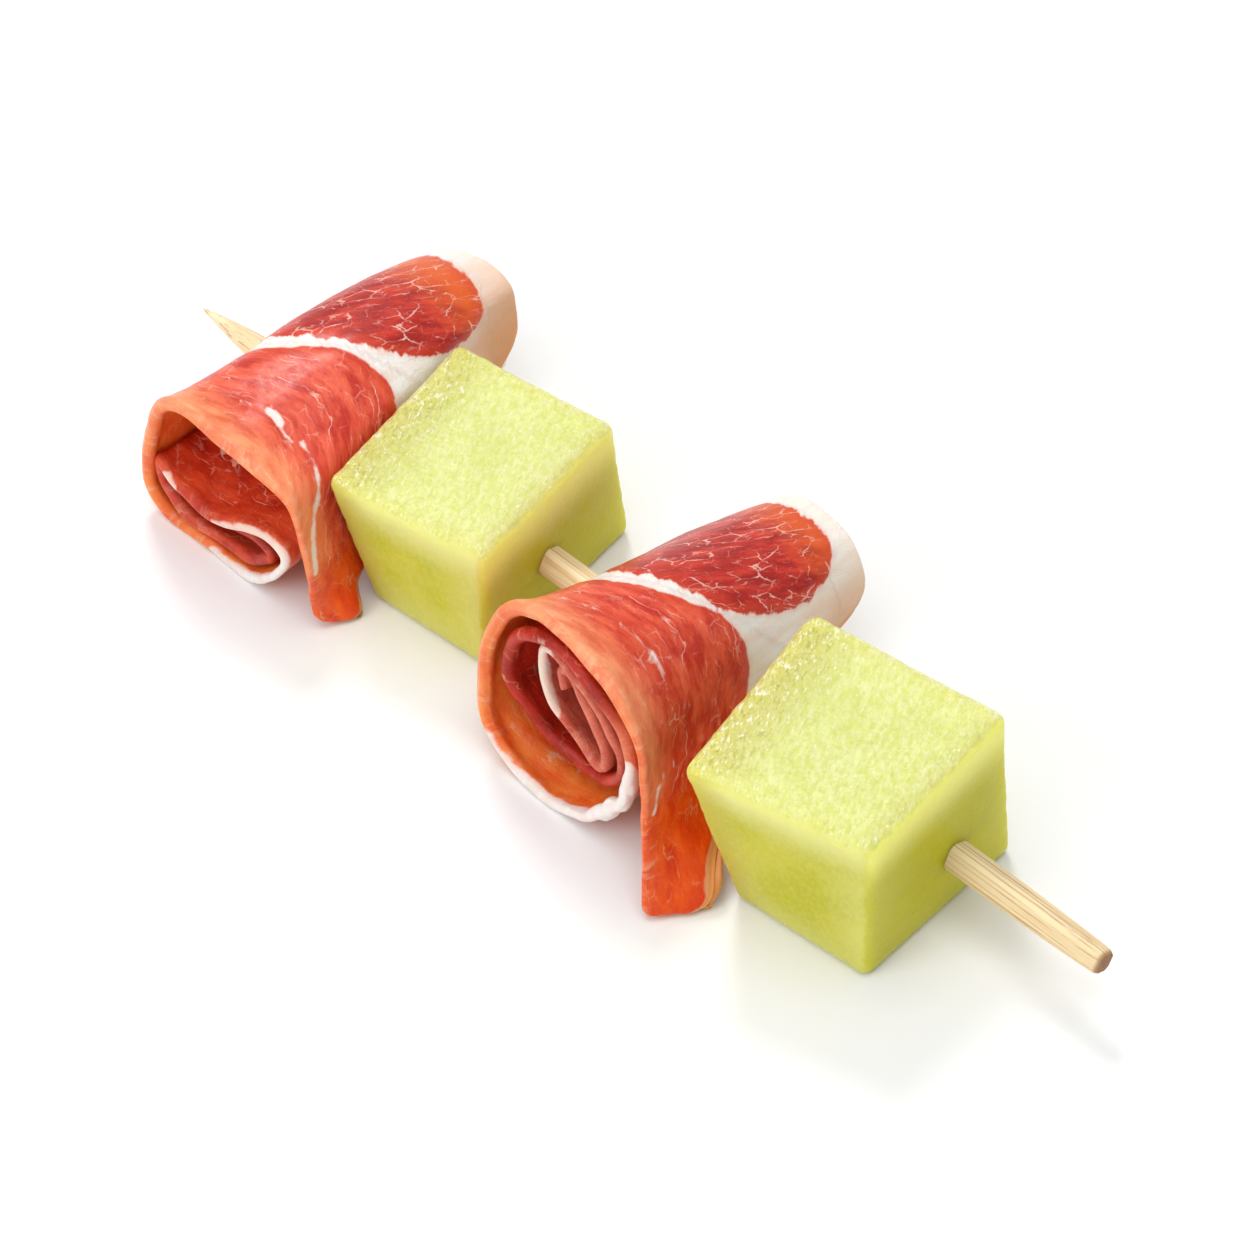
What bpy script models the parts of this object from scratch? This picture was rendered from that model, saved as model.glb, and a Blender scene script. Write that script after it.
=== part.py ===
"""Melon and ham skewer: two melon cubes and two rolled slices of dry-cured ham on a bamboo skewer.

The skewer lies along X with its point at -X. Everything rests on the plane z = 0.
Sizes are in millimetres and are turned into metres where the meshes are made.
"""

import math

import bmesh
import bpy
import numpy as np

MM = 0.001
SKEWER_Y = 1.43  # of the skewer from the middle of the whole; all other sizes are from the skewer

# Bamboo skewer
SKEWER_LENGTH = 150.0
SKEWER_DIAMETER = 4.0
SKEWER_HEIGHT = 9.0  # of its axis above the table
POINT_LENGTH = 17.0
POINT_DIAMETER = 0.5
END_LENGTH = 14.0  # over which the blunt end narrows
END_DIAMETER = 3.1
SKEWER_SIDES = 20

# Room left round the skewer where it goes through the food
HOLE_CLEARANCE = 0.3
HOLE_SIDES = 20

# Melon cubes, cut by hand. Each row is one upright edge: its top (x, y, z), then its foot (x, y).
MELON_ROUNDING = 1.4
MELON_CUTS = 3  # across each side
MELON_CUBES = {
    "melon_cube_1": (
        ((-36.1, -16.7, 20.9), (-31.2, -14.0)),
        ((-13.0, -12.8, 21.0), (-13.0, -12.8)),
        ((-16.3, 14.2, 21.0), (-15.2, 16.0)),
        ((-40.2, 10.9, 20.9), (-35.9, 11.0)),
    ),
    "melon_cube_2": (
        ((27.6, -22.1, 25.0), (33.0, -17.4)),
        ((52.1, -16.2, 24.7), (52.3, -15.9)),
        ((50.7, 9.8, 26.0), (52.4, 10.7)),
        ((23.2, 6.0, 25.7), (26.4, 6.4)),
    ),
}

# Ham rolls. A slice hangs as a tail at the roll's right side, goes over the top, down the left,
# under and then round and round inside. "path" below counts it: -1 at the tip of the tail,
# 0 where the tail joins the roll, and then one for each turn of the spiral.
HAM_THICKNESS = 1.1
PRESS_SOFTNESS = 0.5
PATH_STEPS = 96
WIDTH_STEPS = 14
HAM_ROLLS = {
    "ham_roll_1": {
        "foot": (-48.4, -22.6),  # (x, y) under the middle of the roll's mouth
        "yaw": 0.6,  # degrees, of the roll's axis away from +Y
        "length": 46.0,
        "middle_height": 10.95,
        "packed_towards": -90.0,  # degrees: the side that the inner turns lie against
        # path, half length, half height, tilt in degrees and shift to the packed side, at the mouth
        "mouth": (
            (0.00, 13.9, 13.9, 0.0, 0.0),
            (0.04, 14.2, 14.2, 0.0, 0.0),
            (0.09, 14.4, 14.4, 0.0, 0.0),
            (0.15, 12.2, 12.2, 0.0, 0.0),
            (0.20, 11.5, 11.5, 0.0, 0.0),
            (0.26, 11.5, 11.5, 0.0, 0.0),
            (0.36, 13.6, 13.6, 0.0, 0.0),
            (0.44, 12.9, 12.9, 0.0, 0.0),
            (0.53, 14.3, 14.3, 0.0, 0.0),
            (0.58, 15.8, 15.8, 0.0, 0.0),
            (0.62, 14.8, 14.8, 0.0, 0.0),
            (0.66, 12.0, 12.0, 0.0, 0.0),
            (0.72, 10.3, 10.3, 0.0, 0.0),
            (0.76, 10.2, 10.2, 0.0, 0.0),
            (0.82, 11.0, 11.0, 0.0, 0.0),
            (0.87, 11.2, 9.6, 0.0, 0.6),
            (0.93, 10.6, 7.3, 0.0, 1.7),
            (1.00, 10.1, 5.2, 0.0, 2.6),
            (1.10, 10.4, 4.2, 0.0, 3.6),
            (1.20, 10.7, 2.6, 0.0, 4.3),
            (1.30, 10.7, 0.8, 0.0, 4.6),
            (1.40, 11.1, 1.2, 0.0, 4.2),
            (1.45, 11.8, 1.8, 0.0, 3.3),
            (1.50, 12.5, 2.6, 0.0, 2.2),
            (1.60, 13.8, 5.4, 0.0, 3.0),
            (1.70, 12.4, 4.7, 0.0, 3.8),
            (1.85, 8.0, 4.4, 0.0, 4.0),
            (2.00, 6.6, 2.7, 0.0, 5.4),
            (2.10, 6.4, 1.6, 0.0, 5.8),
            (2.25, 7.0, 0.9, 0.0, 6.5),
            (2.42, 8.0, 0.9, 0.0, 6.7),
        ),
        "far_radius": 8.9,
        "far_middle": (-0.6, 9.7),
        "far_pitch": 1.75,  # the spiral's step inwards for each turn
        "belly": 1.6,  # how much fuller the roll is half way along than a plain cone
        # where the mouth opens out: direction and width in degrees, how far, and how deep it goes
        "flares": ((22.0, 26.0, 1.6, 3.0), (132.0, 26.0, 0.8, 10.0)),
        # path, mouth edge, far edge, both along the axis from the mouth
        "edges": (
            (-1.0, 0.2, 6.8),
            (-0.7, 0.2, 9.5),
            (-0.4, 0.2, 20.0),
            (-0.1, 0.0, 43.0),
            (0.05, 0.0, 46.0),
            (0.7, 0.0, 46.0),
            (0.85, -0.4, 45.5),
            (1.0, 0.0, 45.0),
            (1.5, 0.2, 44.0),
            (2.4, 2.0, 44.0),
        ),
        "tail_foot": (15.6, 19.9),  # across, of the tail's tip at its mouth side and its far side
        "tail_corners": (0.10, 0.12),  # how far its corners are rounded back, as shares of the tail
        "tail_drop": (0.6, 5.0),  # how the tail leaves the roll: outwards, downwards
        "tail_reach": (1.2, 4.0),  # how it comes to its tip: outwards, downwards
        "mouth_lean": 0.03,
        "far_lean": 0.17,
        "wobble": 0.4,
        # the melon cube beside it flattens its right side: the most "across" at the front of the
        # table, and how much less for each millimetre along and each millimetre up
        "pressed": (16.2, 0.174, 0.23),
    },
    "ham_roll_2": {
        "foot": (6.6, -20.6),
        "yaw": -4.0,
        "length": 43.0,
        "middle_height": 14.2,
        "packed_towards": 40.0,
        "mouth": (
            (0.00, 13.6, 13.6, 0.0, 0.0),
            (0.37, 13.0, 13.2, 0.0, 0.0),
            (0.50, 13.0, 13.5, 0.0, 0.0),
            (0.65, 14.2, 13.6, 0.0, 0.0),
            (0.80, 13.4, 13.5, 0.0, 0.0),
            (1.00, 12.0, 11.9, 0.0, 0.0),
            (1.25, 11.9, 10.3, -30.0, -0.1),
            (1.50, 10.7, 9.7, -40.0, 0.0),
            (1.75, 10.3, 8.3, -45.0, 0.4),
            (2.00, 9.9, 7.0, -50.0, 0.8),
            (2.25, 9.4, 5.6, -50.0, 1.4),
            (2.50, 8.8, 4.2, -50.0, 2.0),
            (2.75, 8.0, 3.4, -50.0, 2.4),
            (3.00, 7.2, 2.5, -50.0, 2.3),
            (3.50, 5.2, 1.6, -50.0, 2.4),
        ),
        "far_radius": 8.7,
        "far_middle": (0.3, 10.2),
        "far_pitch": 1.7,
        "belly": 0.2,
        "flares": ((20.0, 36.0, 1.8, 3.5), (118.0, 32.0, 1.7, 12.0)),
        "edges": (
            (-1.0, -5.3, 2.8),
            (-0.7, -4.0, 7.0),
            (-0.4, -2.2, 20.0),
            (-0.2, -1.0, 38.0),
            (-0.1, -0.5, 42.0),
            (0.05, 0.0, 43.0),
            (0.5, -0.4, 43.0),
            (0.65, -1.2, 43.0),
            (0.8, -0.8, 43.0),
            (1.0, 0.0, 42.5),
            (1.35, 0.4, 42.0),
            (1.75, 2.8, 41.0),
            (2.2, 1.2, 41.0),
            (2.75, 1.8, 41.0),
            (3.5, 1.6, 41.0),
        ),
        "tail_foot": (21.0, 26.5),
        "tail_corners": (0.02, 0.16),
        "tail_drop": (1.8, 4.0),
        "tail_reach": (2.0, 5.0),
        "mouth_lean": 0.10,
        "far_lean": 0.17,
        "wobble": 1.7,
        "pressed": (25.2, 0.30, 0.18),
    },
}

# Colour, roughness and metallic of each kind of piece
FINISHES = {
    "bamboo": ((0.72, 0.50, 0.25), 0.55, 0.0),
    "melon": ((0.66, 0.72, 0.26), 0.30, 0.0),
    "ham": ((0.55, 0.09, 0.05), 0.38, 0.0),
}


def clear_scene():
    for obj in list(bpy.data.objects):
        bpy.data.objects.remove(obj)


def finish(kind):
    material = bpy.data.materials.get(kind) or bpy.data.materials.new(kind)
    material.use_nodes = True
    colour, roughness, metallic = FINISHES[kind]
    shader = material.node_tree.nodes["Principled BSDF"]
    shader.inputs["Base Color"].default_value = (*colour, 1.0)
    shader.inputs["Roughness"].default_value = roughness
    shader.inputs["Metallic"].default_value = metallic
    return material


def add_object(name, points, faces, kind):
    """A new object from points in millimetres, smooth except at its sharp edges."""
    mesh = bpy.data.meshes.new(name)
    mesh.from_pydata([tuple(MM * value for value in point) for point in points], [], faces)
    mesh.validate()
    mesh.materials.append(finish(kind))
    mesh.shade_smooth()
    mesh.set_sharp_from_angle(angle=math.radians(40))
    obj = bpy.data.objects.new(name, mesh)
    obj.location.y = SKEWER_Y * MM
    bpy.context.scene.collection.objects.link(obj)
    return obj


def turned(name, profile, sides, kind):
    """A closed solid turned about X, from (x, radius) points that run towards +X."""
    points = []
    for x, radius in profile:
        for side in range(sides):
            angle = 2 * math.pi * side / sides
            points.append((x, radius * math.cos(angle), radius * math.sin(angle)))
    rings = len(profile)
    faces = [tuple(range(sides)), tuple((rings - 1) * sides + s for s in reversed(range(sides)))]
    for ring in range(rings - 1):
        for side in range(sides):
            here, beside = ring * sides + side, ring * sides + (side + 1) % sides
            faces.append((here, here + sides, beside + sides, beside))
    obj = add_object(name, points, faces, kind)
    face_outwards(obj.data)
    obj.location.z = SKEWER_HEIGHT * MM
    return obj


def face_outwards(mesh):
    work = bmesh.new()
    work.from_mesh(mesh)
    bmesh.ops.recalc_face_normals(work, faces=work.faces)
    work.to_mesh(mesh)
    work.free()


def add_skewer():
    radius = SKEWER_DIAMETER / 2
    left, right = -SKEWER_LENGTH / 2, SKEWER_LENGTH / 2
    profile = (
        (left, POINT_DIAMETER / 2),
        (left + 0.25 * POINT_LENGTH, 0.36 * radius),
        (left + 0.60 * POINT_LENGTH, 0.74 * radius),
        (left + POINT_LENGTH, radius),
        (right - END_LENGTH, radius),
        (right - 0.1 * END_LENGTH, 0.3 * radius + 0.35 * END_DIAMETER),
        (right, END_DIAMETER / 2),
    )
    return turned("skewer", profile, SKEWER_SIDES, "bamboo")


def add_skewer_cutter():
    """What the food loses to the skewer: its hole, a little wider than the skewer itself."""
    radius = SKEWER_DIAMETER / 2 + HOLE_CLEARANCE
    reach = SKEWER_LENGTH / 2 + 5
    cutter = turned("skewer_hole", ((-reach, radius), (reach, radius)), HOLE_SIDES, "bamboo")
    cutter.hide_render = True
    cutter.display_type = "WIRE"
    return cutter


def cut_hole(obj, cutter):
    obj.modifiers.new("flat faces", "TRIANGULATE")
    boolean = obj.modifiers.new("skewer hole", "BOOLEAN")
    boolean.operation = "DIFFERENCE"
    boolean.solver = "EXACT"
    boolean.object = cutter


def split_faces(mesh, cuts):
    """Cuts each four-sided face into a grid, so that a twisted side bends evenly."""
    work = bmesh.new()
    work.from_mesh(mesh)
    bmesh.ops.subdivide_edges(work, edges=work.edges, cuts=cuts, use_grid_fill=True)
    work.to_mesh(mesh)
    work.free()


def add_melon_cube(name, edges, cutter):
    tops = [top for top, _ in edges]
    feet = [(x, y, 0.0) for _, (x, y) in edges]
    sides = [(i, (i + 1) % 4, (i + 1) % 4 + 4, i + 4) for i in range(4)]
    cube = add_object(name, feet + tops, [(3, 2, 1, 0), (4, 5, 6, 7)] + sides, "melon")
    split_faces(cube.data, MELON_CUTS)
    rounding = cube.modifiers.new("knife edges", "BEVEL")
    rounding.width = MELON_ROUNDING * MM
    rounding.segments = 3
    rounding.limit_method = "ANGLE"
    rounding.angle_limit = math.radians(45)
    cut_hole(cube, cutter)
    return cube


def read_keys(keys, q):
    """Smooth curves through rows of (q, values...), read at q: one array for each column.

    A curve never swings past the rows on either side of it.
    """
    table = np.array(keys, float)
    knots, values = table[:, 0], table[:, 1:]
    rise = np.diff(values, axis=0) / np.diff(knots)[:, None]
    before, after = rise[:-1], rise[1:]
    same_way = before * after > 0
    inner = np.where(same_way, 2 * before * after / np.where(same_way, before + after, 1), 0)
    slopes = np.concatenate([rise[:1], inner, rise[-1:]])
    q = np.clip(q, knots[0], knots[-1])
    i = np.clip(np.searchsorted(knots, q, side="right") - 1, 0, len(knots) - 2)
    step = (knots[i + 1] - knots[i])[..., None]
    s = ((q - knots[i]) / (knots[i + 1] - knots[i]))[..., None]
    hermite = (
        (1 + 2 * s) * (1 - s) ** 2 * values[i]
        + s * (1 - s) ** 2 * step * slopes[i]
        + s**2 * (3 - 2 * s) * values[i + 1]
        - s**2 * (1 - s) * step * slopes[i + 1]
    )
    return np.moveaxis(hermite, -1, 0)


def ease(low, high, value):
    s = np.clip((value - low) / (high - low), 0, 1)
    return s * s * (3 - 2 * s)


def flare(roll, path, along):
    """How far the outermost turn opens out at the mouth."""
    degrees = 360 * path
    return sum(
        amount * np.exp(-(((degrees - direction) / width) ** 2) - np.maximum(along, 0) / depth)
        for direction, width, amount, depth in roll["flares"]
    )


def flattened(roll, u, path, along, w):
    """u, kept off the melon cube at the roll's right side, with room for the turns outside it."""
    front, less_along, less_up = roll["pressed"]
    most = front - less_along * (along - 6) - less_up * w - roll["far_pitch"] * np.maximum(path, 0)
    return most - PRESS_SOFTNESS * np.logaddexp(0, (most - u) / PRESS_SOFTNESS)


def spiral_point(roll, path, reach):
    """(across, up) on the spiral. reach runs from 0 at the mouth to 1 at the far end."""
    half_length, half_height, tilt, shift = read_keys(roll["mouth"], path)
    tilt, side = np.radians(tilt), math.radians(roll["packed_towards"])
    angle = 2 * np.pi * path
    along, aside = half_length * np.cos(angle - tilt), half_height * np.sin(angle - tilt)
    mouth_u = shift * math.cos(side) + along * np.cos(tilt) - aside * np.sin(tilt)
    mouth_w = shift * math.sin(side) + along * np.sin(tilt) + aside * np.cos(tilt)
    radius = roll["far_radius"] - roll["far_pitch"] * np.maximum(path - 0.1, 0)
    far_u = roll["far_middle"][0] + radius * np.cos(angle)
    far_w = roll["far_middle"][1] + radius * np.sin(angle) - roll["middle_height"]
    phase = roll["wobble"]
    swell = 0.25 * np.sin(3 * angle + phase + 5 * reach) + 0.2 * np.sin(2 * angle + 4 * phase - 7 * reach)
    swell = swell + roll["belly"] * np.sin(np.pi * reach**1.3)
    swell = swell + flare(roll, path, reach * roll["length"])
    upper = ease(-0.9, -0.2, np.sin(angle))
    u = mouth_u + (far_u - mouth_u) * reach + swell * np.cos(angle)
    w = mouth_w + (far_w - mouth_w) * reach + swell * np.sin(angle) * upper
    w = w + roll["middle_height"]
    return flattened(roll, u, path, reach * roll["length"], w), w


def tail_point(roll, path, share):
    """(across, up) on the hanging tail. share runs from 0 at its mouth side to 1 at its far side."""
    root_u, root_w = spiral_point(roll, np.zeros_like(path), 0.12 * share)
    foot_u = roll["tail_foot"][0] + (roll["tail_foot"][1] - roll["tail_foot"][0]) * share
    foot_w = HAM_THICKNESS / 2
    near, far = roll["tail_corners"]
    corner = near * np.clip(1 - 2 * share, 0, 1) ** 3 + far * np.clip(2 * share - 1, 0, 1) ** 3
    s = np.clip(-path - corner * ease(-0.5, -1.0, path), 0, 1)
    drop, reach = roll["tail_drop"], roll["tail_reach"]
    corners_u = (root_u, root_u + drop[0], foot_u - reach[0], foot_u)
    corners_w = (root_w, root_w - drop[1], foot_w + reach[1], foot_w)
    weights = ((1 - s) ** 3, 3 * s * (1 - s) ** 2, 3 * s * s * (1 - s), s**3)
    return (
        sum(weight * corner for weight, corner in zip(weights, corners_u)),
        sum(weight * corner for weight, corner in zip(weights, corners_w)),
    )


def slice_point(roll, path, share):
    """A point of the slice's middle layer: (across, along, up). share runs from its mouth edge to its far edge."""
    mouth_edge, far_edge = read_keys(roll["edges"], path)
    along = mouth_edge + (far_edge - mouth_edge) * share
    reach = np.clip(along / roll["length"], 0, 1)
    rolled_u, rolled_w = spiral_point(roll, np.maximum(path, 0), reach)
    under_u, under_w = spiral_point(roll, path * 0.22, reach)
    hung_u, hung_w = tail_point(roll, path, share)
    hold = ease(0.05, 0.7, reach)
    hung_u, hung_w = hung_u + (under_u - hung_u) * hold, hung_w + (under_w - hung_w) * hold
    beside = ease(4.5, 7.5, along)
    hung_u = hung_u + (flattened(roll, hung_u, path, along, hung_w) - hung_u) * beside
    u = np.where(path < 0, hung_u, rolled_u)
    w = np.where(path < 0, hung_w, rolled_w)
    lean = roll["mouth_lean"] + (roll["far_lean"] - roll["mouth_lean"]) * reach
    return u, along + lean * (w - roll["middle_height"]) * ease(-0.6, 0.1, path), w


def even_path(roll):
    """Values of path that are the same distance apart along the slice."""
    path = np.linspace(-1, roll["edges"][-1][0], 4000)
    points = np.stack(slice_point(roll, path, np.full_like(path, 0.15)), axis=-1)
    gone = np.concatenate([[0], np.cumsum(np.linalg.norm(np.diff(points, axis=0), axis=1))])
    return np.interp(np.linspace(0, gone[-1], PATH_STEPS), gone, path)


def add_ham_roll(name, roll, cutter):
    path, share = np.meshgrid(even_path(roll), np.linspace(0, 1, WIDTH_STEPS), indexing="ij")
    u, v, w = slice_point(roll, path, share)
    yaw = math.radians(roll["yaw"])
    x = roll["foot"][0] + u * math.cos(yaw) - v * math.sin(yaw)
    y = roll["foot"][1] + u * math.sin(yaw) + v * math.cos(yaw)
    points = np.stack([x, y, w], axis=-1).reshape(-1, 3)
    faces = []
    for i in range(PATH_STEPS - 1):
        for j in range(WIDTH_STEPS - 1):
            a = i * WIDTH_STEPS + j
            faces.append((a, a + 1, a + 1 + WIDTH_STEPS, a + WIDTH_STEPS))
    ham = add_object(name, points, faces, "ham")
    slab = ham.modifiers.new("slice thickness", "SOLIDIFY")
    slab.thickness = HAM_THICKNESS * MM
    slab.offset = 0
    cut_hole(ham, cutter)
    return ham


def main():
    clear_scene()
    cutter = add_skewer_cutter()
    add_skewer()
    for name, edges in MELON_CUBES.items():
        add_melon_cube(name, edges, cutter)
    for name, roll in HAM_ROLLS.items():
        add_ham_roll(name, roll, cutter)


main()
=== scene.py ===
# %% [markdown]
# # A melon and ham skewer
# Two cubes of green melon and two rolled slices of dry-cured ham on a bamboo skewer.
# The solid model already has every piece at its true size. It is loaded here as a fixed frame, and
# each piece is then made again with the fine shape and the finish that real food has. The skewer's
# line, length and thickness are measured on the solid model, and everything else is placed from
# that line. Sizes are in millimetres and are turned into metres where a mesh is made.

# %% The frame
import math

import bmesh
import bpy
import numpy as np
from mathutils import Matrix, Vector, noise


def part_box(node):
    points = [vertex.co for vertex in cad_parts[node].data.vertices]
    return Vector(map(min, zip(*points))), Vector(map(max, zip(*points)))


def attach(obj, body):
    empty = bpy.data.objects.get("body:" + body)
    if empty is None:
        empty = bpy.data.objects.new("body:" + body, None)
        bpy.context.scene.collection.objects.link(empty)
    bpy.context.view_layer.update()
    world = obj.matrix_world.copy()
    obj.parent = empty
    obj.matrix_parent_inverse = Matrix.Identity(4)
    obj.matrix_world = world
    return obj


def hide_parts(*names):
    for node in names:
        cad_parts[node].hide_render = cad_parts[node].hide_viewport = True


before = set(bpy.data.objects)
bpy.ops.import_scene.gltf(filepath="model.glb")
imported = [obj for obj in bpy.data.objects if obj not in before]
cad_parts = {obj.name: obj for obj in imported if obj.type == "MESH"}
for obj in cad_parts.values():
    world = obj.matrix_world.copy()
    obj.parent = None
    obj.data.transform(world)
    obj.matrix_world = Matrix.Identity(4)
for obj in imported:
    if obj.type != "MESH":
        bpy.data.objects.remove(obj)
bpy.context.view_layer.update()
MM = 0.001
low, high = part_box("skewer")
SKEWER_Y = (low.y + high.y) / 2 / MM
SKEWER_Z = (low.z + high.z) / 2 / MM
SKEWER_LENGTH = (high.x - low.x) / MM
SKEWER_DIAMETER = (high.z - low.z) / MM
print("skewer:", round(SKEWER_LENGTH, 1), "mm long, axis at y", round(SKEWER_Y, 2), "z", round(SKEWER_Z, 2))

# %% [markdown]
# ## Camera
# Small food is best shown by a long lens that stands well off and looks down from above, because the
# sides of the cubes then stay nearly parallel. A camera could be turned by hand until the view is
# right. Here it is placed by two angles, a distance and the point that it looks at, which are easy
# to read and to change.

# %% Camera
CAMERA_TURN, CAMERA_RISE = math.radians(43.11), math.radians(51.0)
CAMERA_AIM = Vector((0.00057, -0.00039, 0.010))
CAMERA_DISTANCE = 0.70
LENS = 165.32
NEAREST_VIEW = 0.01


def look_from(turn, rise):
    """The direction from the table towards a viewer who stands at this turn and rise."""
    return Vector((math.sin(turn) * math.cos(rise), -math.cos(turn) * math.cos(rise), math.sin(rise)))


camera = bpy.data.objects.new("camera", bpy.data.cameras.new("camera"))
bpy.context.scene.collection.objects.link(camera)
camera.data.lens = LENS
camera.data.clip_start = NEAREST_VIEW
away = look_from(CAMERA_TURN, CAMERA_RISE)
camera.location = CAMERA_AIM + CAMERA_DISTANCE * away
camera.rotation_euler = away.to_track_quat("Z", "Y").to_euler()
bpy.context.scene.camera = camera
print("camera", [round(v, 3) for v in camera.location])


# %% [markdown]
# ## Small helpers for node trees
# Every finish below is a tree of nodes, and so is the stick's shape. Trees can be drawn by hand in
# the node editor, but a tree written as short steps with named patterns is easier to read and to
# change. Each helper adds one node, or a few, and gives back the socket that the next one needs.


# %% Adding nodes
def add_node(tree, kind, inputs=None, **settings):
    """Adds a node. inputs gives each input a value, or another node's output to link."""
    made = tree.nodes.new(kind)
    for key, value in settings.items():
        setattr(made, key, value)
    for key, value in (inputs or {}).items():
        if isinstance(value, bpy.types.NodeSocket):
            tree.links.new(value, made.inputs[key])
        else:
            made.inputs[key].default_value = value
    return made


def math_node(tree, operation, *values, clamp=False):
    """One step of arithmetic on its values, which are numbers or sockets."""
    made = add_node(tree, "ShaderNodeMath", dict(enumerate(values)), operation=operation)
    made.use_clamp = clamp
    return made.outputs[0]


def times(tree, *values):
    """The product of all its values."""
    product = values[0]
    for value in values[1:]:
        product = math_node(tree, "MULTIPLY", product, value)
    return product


def plus(tree, one, other):
    return math_node(tree, "ADD", one, other)


def greater(tree, one, other):
    return math_node(tree, "MAXIMUM", one, other)


def smooth_range(tree, value, start, end, low=0.0, high=1.0):
    """A soft step: low before start, high after end."""
    inputs = {"Value": value, "From Min": start, "From Max": end, "To Min": low, "To Max": high}
    return add_node(tree, "ShaderNodeMapRange", inputs, interpolation_type="SMOOTHSTEP").outputs[0]


# %% [markdown]
# ## Helpers for patterns and colours
# A colour is given as the eye reads it, from 0 to 255, and is turned into the amounts of light that
# Blender mixes. A pattern is a noise, or a value that was kept on the points of a mesh when it was
# made, such as how far each point lies from the rim. The second kind follows the shape exactly.


# %% Patterns and colours
def linear(red, green, blue):
    """A colour as the eye reads it, 0 to 255, as the amounts of light that Blender mixes."""
    parts = [v / 255 for v in (red, green, blue)]
    return tuple(v / 12.92 if v <= 0.04045 else ((v + 0.055) / 1.055) ** 2.4 for v in parts)


def blend(tree, share, one, other):
    """The colour one, going over to other as share goes from 0 to 1."""
    made = add_node(tree, "ShaderNodeMix", data_type="RGBA")
    for socket, value in ((made.inputs[0], share), (made.inputs[6], one), (made.inputs[7], other)):
        if isinstance(value, bpy.types.NodeSocket):
            tree.links.new(value, socket)
        elif socket.type == "RGBA":
            socket.default_value = (*value, 1.0)
        else:
            socket.default_value = value
    return made.outputs[2]


def noise_node(tree, place, scale, detail=3.0, roughness=0.5):
    """Soft noise with waves about 1 / scale long."""
    inputs = {"Vector": place, "Scale": scale, "Detail": detail, "Roughness": roughness}
    return add_node(tree, "ShaderNodeTexNoise", inputs).outputs["Fac"]


def attribute(tree, name):
    """A value that the mesh keeps on its points."""
    return add_node(tree, "ShaderNodeAttribute", attribute_name=name).outputs["Fac"]


def new_material(name):
    material = bpy.data.materials.new(name)
    material.use_nodes = True
    return material, material.node_tree, material.node_tree.nodes["Principled BSDF"]


def finish_surface(tree, shader, links, values):
    """Links what changes over the surface, and sets what is the same everywhere."""
    for label, socket in links.items():
        tree.links.new(socket, shader.inputs[label])
    for label, value in values.items():
        shader.inputs[label].default_value = value


print("middle grey holds", [round(v, 3) for v in linear(128, 128, 128)], "of full light")

# %% [markdown]
# ## Grain, as one group for all three foods
# Split bamboo, torn melon and ham all show the same thing at different sizes: a pattern drawn out
# along one direction. The same few nodes could be added to each material, but one node group with
# named inputs keeps them alike, and each material places it with its own stretch and turn.


# %% Drawn-out grain
def new_group(name, inputs, output):
    """A shader node group with named inputs, given as label, kind and value, and one named output."""
    group = bpy.data.node_groups.new(name, "ShaderNodeTree")
    for label, kind, value in inputs:
        socket = group.interface.new_socket(label, in_out="INPUT", socket_type=kind)
        if value is not None:
            socket.default_value = value
    group.interface.new_socket(output, in_out="OUTPUT", socket_type="NodeSocketFloat")
    return group, add_node(group, "NodeGroupInput").outputs, add_node(group, "NodeGroupOutput").inputs


def make_grain_group():
    """Noise drawn out along one direction, as in split wood, torn flesh and muscle."""
    inputs = (
        ("Place", "NodeSocketVector", None),
        ("Stretch", "NodeSocketVector", (1.0, 1.0, 1.0)),
        ("Turn", "NodeSocketFloat", 0.0),
        ("Detail", "NodeSocketFloat", 3.0),
        ("Roughness", "NodeSocketFloat", 0.5),
    )
    group, given, handed = new_group("drawn_out_grain", inputs, "Grain")
    spin = add_node(group, "ShaderNodeCombineXYZ", {"Z": given["Turn"]}).outputs[0]
    turned = add_node(group, "ShaderNodeMapping", {"Vector": given["Place"], "Rotation": spin}).outputs[0]
    drawn = add_node(group, "ShaderNodeMapping", {"Vector": turned, "Scale": given["Stretch"]}).outputs[0]
    group.links.new(noise_node(group, drawn, 1.0, given["Detail"], given["Roughness"]), handed["Grain"])
    return group


GRAIN_GROUP = make_grain_group()


def grain_node(tree, place, stretch, turn=0.0, detail=3.0, roughness=0.5):
    """Grain from a place, scaled by stretch along each axis after a turn in degrees."""
    turn = math.radians(turn)
    inputs = {"Place": place, "Stretch": stretch, "Turn": turn, "Detail": detail, "Roughness": roughness}
    return add_node(tree, "ShaderNodeGroup", inputs, node_tree=GRAIN_GROUP).outputs["Grain"]


print(GRAIN_GROUP.name, "has", len(GRAIN_GROUP.nodes), "nodes")


# %% [markdown]
# ## Which way a surface faces
# The top of a melon cube is torn and frosted while its sides are cut smooth, and the cut end of a
# stick shows other fibres than its side. Each could have its own material slot, but then the border
# would be a hard line. This group compares the surface's direction with a given one instead, and
# puts out a share that changes softly across the rounded edge.


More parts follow.
